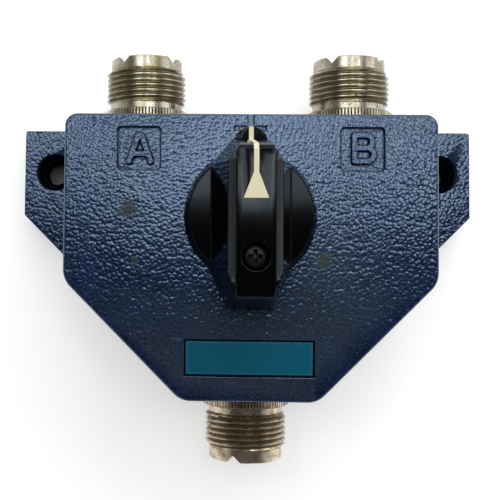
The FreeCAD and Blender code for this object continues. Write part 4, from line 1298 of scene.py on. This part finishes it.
@dataclass(frozen=True)
class WhiteFloor(Finish):
    """Matt white table that keeps the object's shadow and reads as plain white away from it.

    Under the fixing holes it is painted darker and gets no lift, as painted shade at the bottom of the
    holes.
    """

    table_hex: str = "#f4f4f4"
    shade_hex: str = "#8a8986"
    roughness: float = 0.8
    sheen: float = 0.1
    lift: float = 0.43
    dark_radius: Pair = (4.5, 6.5)

    def paint(self, add: Add, place: Socket) -> Sockets:
        """Builds the painted shade under the fixing holes and the lift that only the camera and mirrored
        rays see.
        """
        rays = add("LightPath").outputs
        seen = add("Math", {0: rays["Is Camera Ray"], 1: rays["Is Glossy Ray"]}, operation="MAXIMUM")
        seen = add("Math", {0: seen, 1: rays["Is Transmission Ray"]}, operation="MAXIMUM")
        ends = tuple(radius * MM for radius in self.dark_radius)
        # painted shade: the table under the fixing holes turns grey and loses its lift
        open_table = add("MapRange", {"Value": from_ear_hole(add, place), **span(ends)})
        lift = add("Math", {0: open_table, 1: self.lift}, operation="MULTIPLY")
        return {
            "Base Color": layered(add, self.shade_hex, (open_table, self.table_hex)),
            "Roughness": self.roughness,
            "Specular IOR Level": self.sheen,
            "Emission Color": WHITE,
            "Emission Strength": add("Math", {0: seen, 1: lift}, operation="MULTIPLY"),
        }


@dataclass(frozen=True)
class Lamp:
    """A soft rectangular lamp, in metres. It looks straight down unless it has an aim."""

    name: str
    centre: Point
    width: float
    height: float
    radiance: float
    aim: Point | None = None

    def build(self) -> None:
        """Puts the lamp up."""
        data = bpy.data.lights.new(self.name, "AREA")
        data.shape = "RECTANGLE"
        data.size = self.width
        data.size_y = self.height
        data.energy = self.radiance * math.pi * self.width * self.height
        lamp = place_object(self.name, data)
        lamp.location = self.centre
        lamp.rotation_mode = "QUATERNION"
        aim = self.aim or (*self.centre[:2], 0.0)
        lamp.rotation_quaternion = (Vector(aim) - Vector(self.centre)).to_track_quat("-Z", "Y")
        LOG.info("lamp %s, radiance %.2f", self.name, self.radiance)


@dataclass
class Studio:
    """White table, soft light from beyond the antenna ports, and the camera above the front face.

    The room's strengths are given by axis of view: two values along it, and the strength at each.
    """

    floor_level: float = -0.0003
    floor_half: float = 2.5
    lens: float = 62.671
    sensor: float = 36.0
    clip: Pair = (0.01, 10.0)
    shift: Pair = (0.14, -0.06)
    station: Point = (-0.007955, -0.000944, 0.189474)
    tilt_degrees: Point = (-2.717, -1.785, -0.479)
    far_wall: tuple[Pair, Pair] = ((0.05, 0.5), (0.01, 0.3))
    low_wall: tuple[Pair, Pair] = ((0.75, 0.3), (0.0, 0.7))
    side_wall: tuple[Pair, Pair] = ((0.3, 0.65), (0.25, 1.0))
    near_wall: tuple[Pair, Pair] = ((-0.19, -0.3), (0.004, 0.22))
    lamps: tuple[Lamp, ...] = (
        Lamp("ceiling", (0.0, 0.36, 0.6), 1.0, 0.42, 0.8),
        Lamp("tube_left", (-0.17, 0.2, 0.597), 0.07, 0.24, 4.5),
        Lamp("tube_right", (0.06, 0.185, 0.597), 0.06, 0.27, 4.5),
        Lamp("lamp_right", (0.17, 0.09, 0.597), 0.08, 0.08, 6.0),
        Lamp("lamp_far_left", (-0.293, 0.172, 0.597), 0.08, 0.08, 6.0),
        Lamp("lamp_far_right", (0.262, 0.185, 0.597), 0.08, 0.08, 4.8),
        Lamp("side", (0.6, 0.2, 0.3), 0.3, 0.4, 1.2, aim=(0.0, 0.0, 0.0)),
        Lamp("panel", (-0.03, 0.082, 0.596), 0.15, 0.06, 5.5),
        Lamp("window", (0.2, 0.68, 0.52), 0.8, 0.4, 2.8, aim=(0.0, 0.0, 0.0)),
    )

    def build(self) -> None:
        """Makes the floor, the lamps, the world and the camera."""
        draft = bmesh.new()
        bmesh.ops.create_grid(draft, x_segments=2, y_segments=2, size=self.floor_half)
        bmesh.ops.translate(draft, vec=(0.0, 0.0, self.floor_level), verts=draft.verts)
        floor = mesh_object("white_table", draft, Shading.FLAT)
        floor.data.materials.append(WhiteFloor("matt_white_table").material())
        for lamp in self.lamps:
            lamp.build()
        self.build_world()
        self.build_camera()

    def build_world(self) -> None:
        """A room that is pale beyond the antenna ports and dark above the near side."""
        world = bpy.data.worlds.new("room")
        bpy.context.scene.world = world
        world.use_nodes = True
        world.node_tree.nodes.clear()
        add = partial(add_node, world.node_tree)
        view = add("TexCoord").outputs["Generated"]
        way = add("SeparateXYZ", {"Vector": view}).outputs
        aside = add("Math", {0: way["X"]}, operation="ABSOLUTE")
        far, low, aside, near = (
            add("MapRange", {"Value": value, **span(ends), **span(strengths, "To")})
            for value, (ends, strengths) in (
                (way["Y"], self.far_wall),
                (way["Z"], self.low_wall),
                (aside, self.side_wall),
                (way["Y"], self.near_wall),
            )
        )
        low = add("Math", {0: low, 1: aside}, operation="MULTIPLY")
        shade = add("Math", {0: far, 1: low}, operation="MAXIMUM")
        shade = add("Math", {0: shade, 1: near}, operation="MAXIMUM")
        room = add("Background", {"Color": WHITE, "Strength": shade})
        backdrop = add("Background", {"Color": WHITE, "Strength": 1.0})
        seen = add("LightPath").outputs["Is Camera Ray"]
        mixed = add("MixShader", {0: seen, 1: room, 2: backdrop})
        add("OutputWorld", {"Surface": mixed})

    def build_camera(self) -> None:
        """The camera, almost straight above the knob."""
        data = bpy.data.cameras.new("camera")
        data.lens = self.lens
        data.sensor_width = self.sensor
        data.shift_x, data.shift_y = self.shift
        data.clip_start, data.clip_end = self.clip
        camera = place_object("camera", data)
        turns = [
            Matrix.Rotation(math.radians(angle), 3, axis) for angle, axis in zip(self.tilt_degrees, "XYZ")
        ]
        to_camera = turns[2] @ turns[1] @ turns[0]
        camera.matrix_world = Matrix.Translation(self.station) @ to_camera.transposed().to_4x4()
        bpy.context.scene.camera = camera


def corners(bounds: tuple[Vector, Vector]) -> list[list[float]]:
    """The two corners of a box as plain lists of numbers."""
    return [list(end) for end in bounds]


def main() -> None:
    """Builds every sub-assembly in order."""
    logging.basicConfig(level=logging.INFO, format="%(name)s: %(message)s")
    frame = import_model()
    bpy.context.scene.view_settings.view_transform = "Standard"
    Casting().build(frame)
    ports = (
        Port("a", -20.5, 26.7, 1.0, 53.0, NICKEL),
        Port("b", 20.5, 26.7, 1.0, 53.0, NICKEL),
        Port("common", 0.0, -26.7, -1.0, 22.0, WORN_NICKEL),
    )
    for port in ports:
        Connector(port).build()
    Knob().build(frame)
    Label().build(frame)
    RearPlate().build(frame)
    Works().dress(frame)
    Studio().build()


if __name__ == "__main__":
    main()
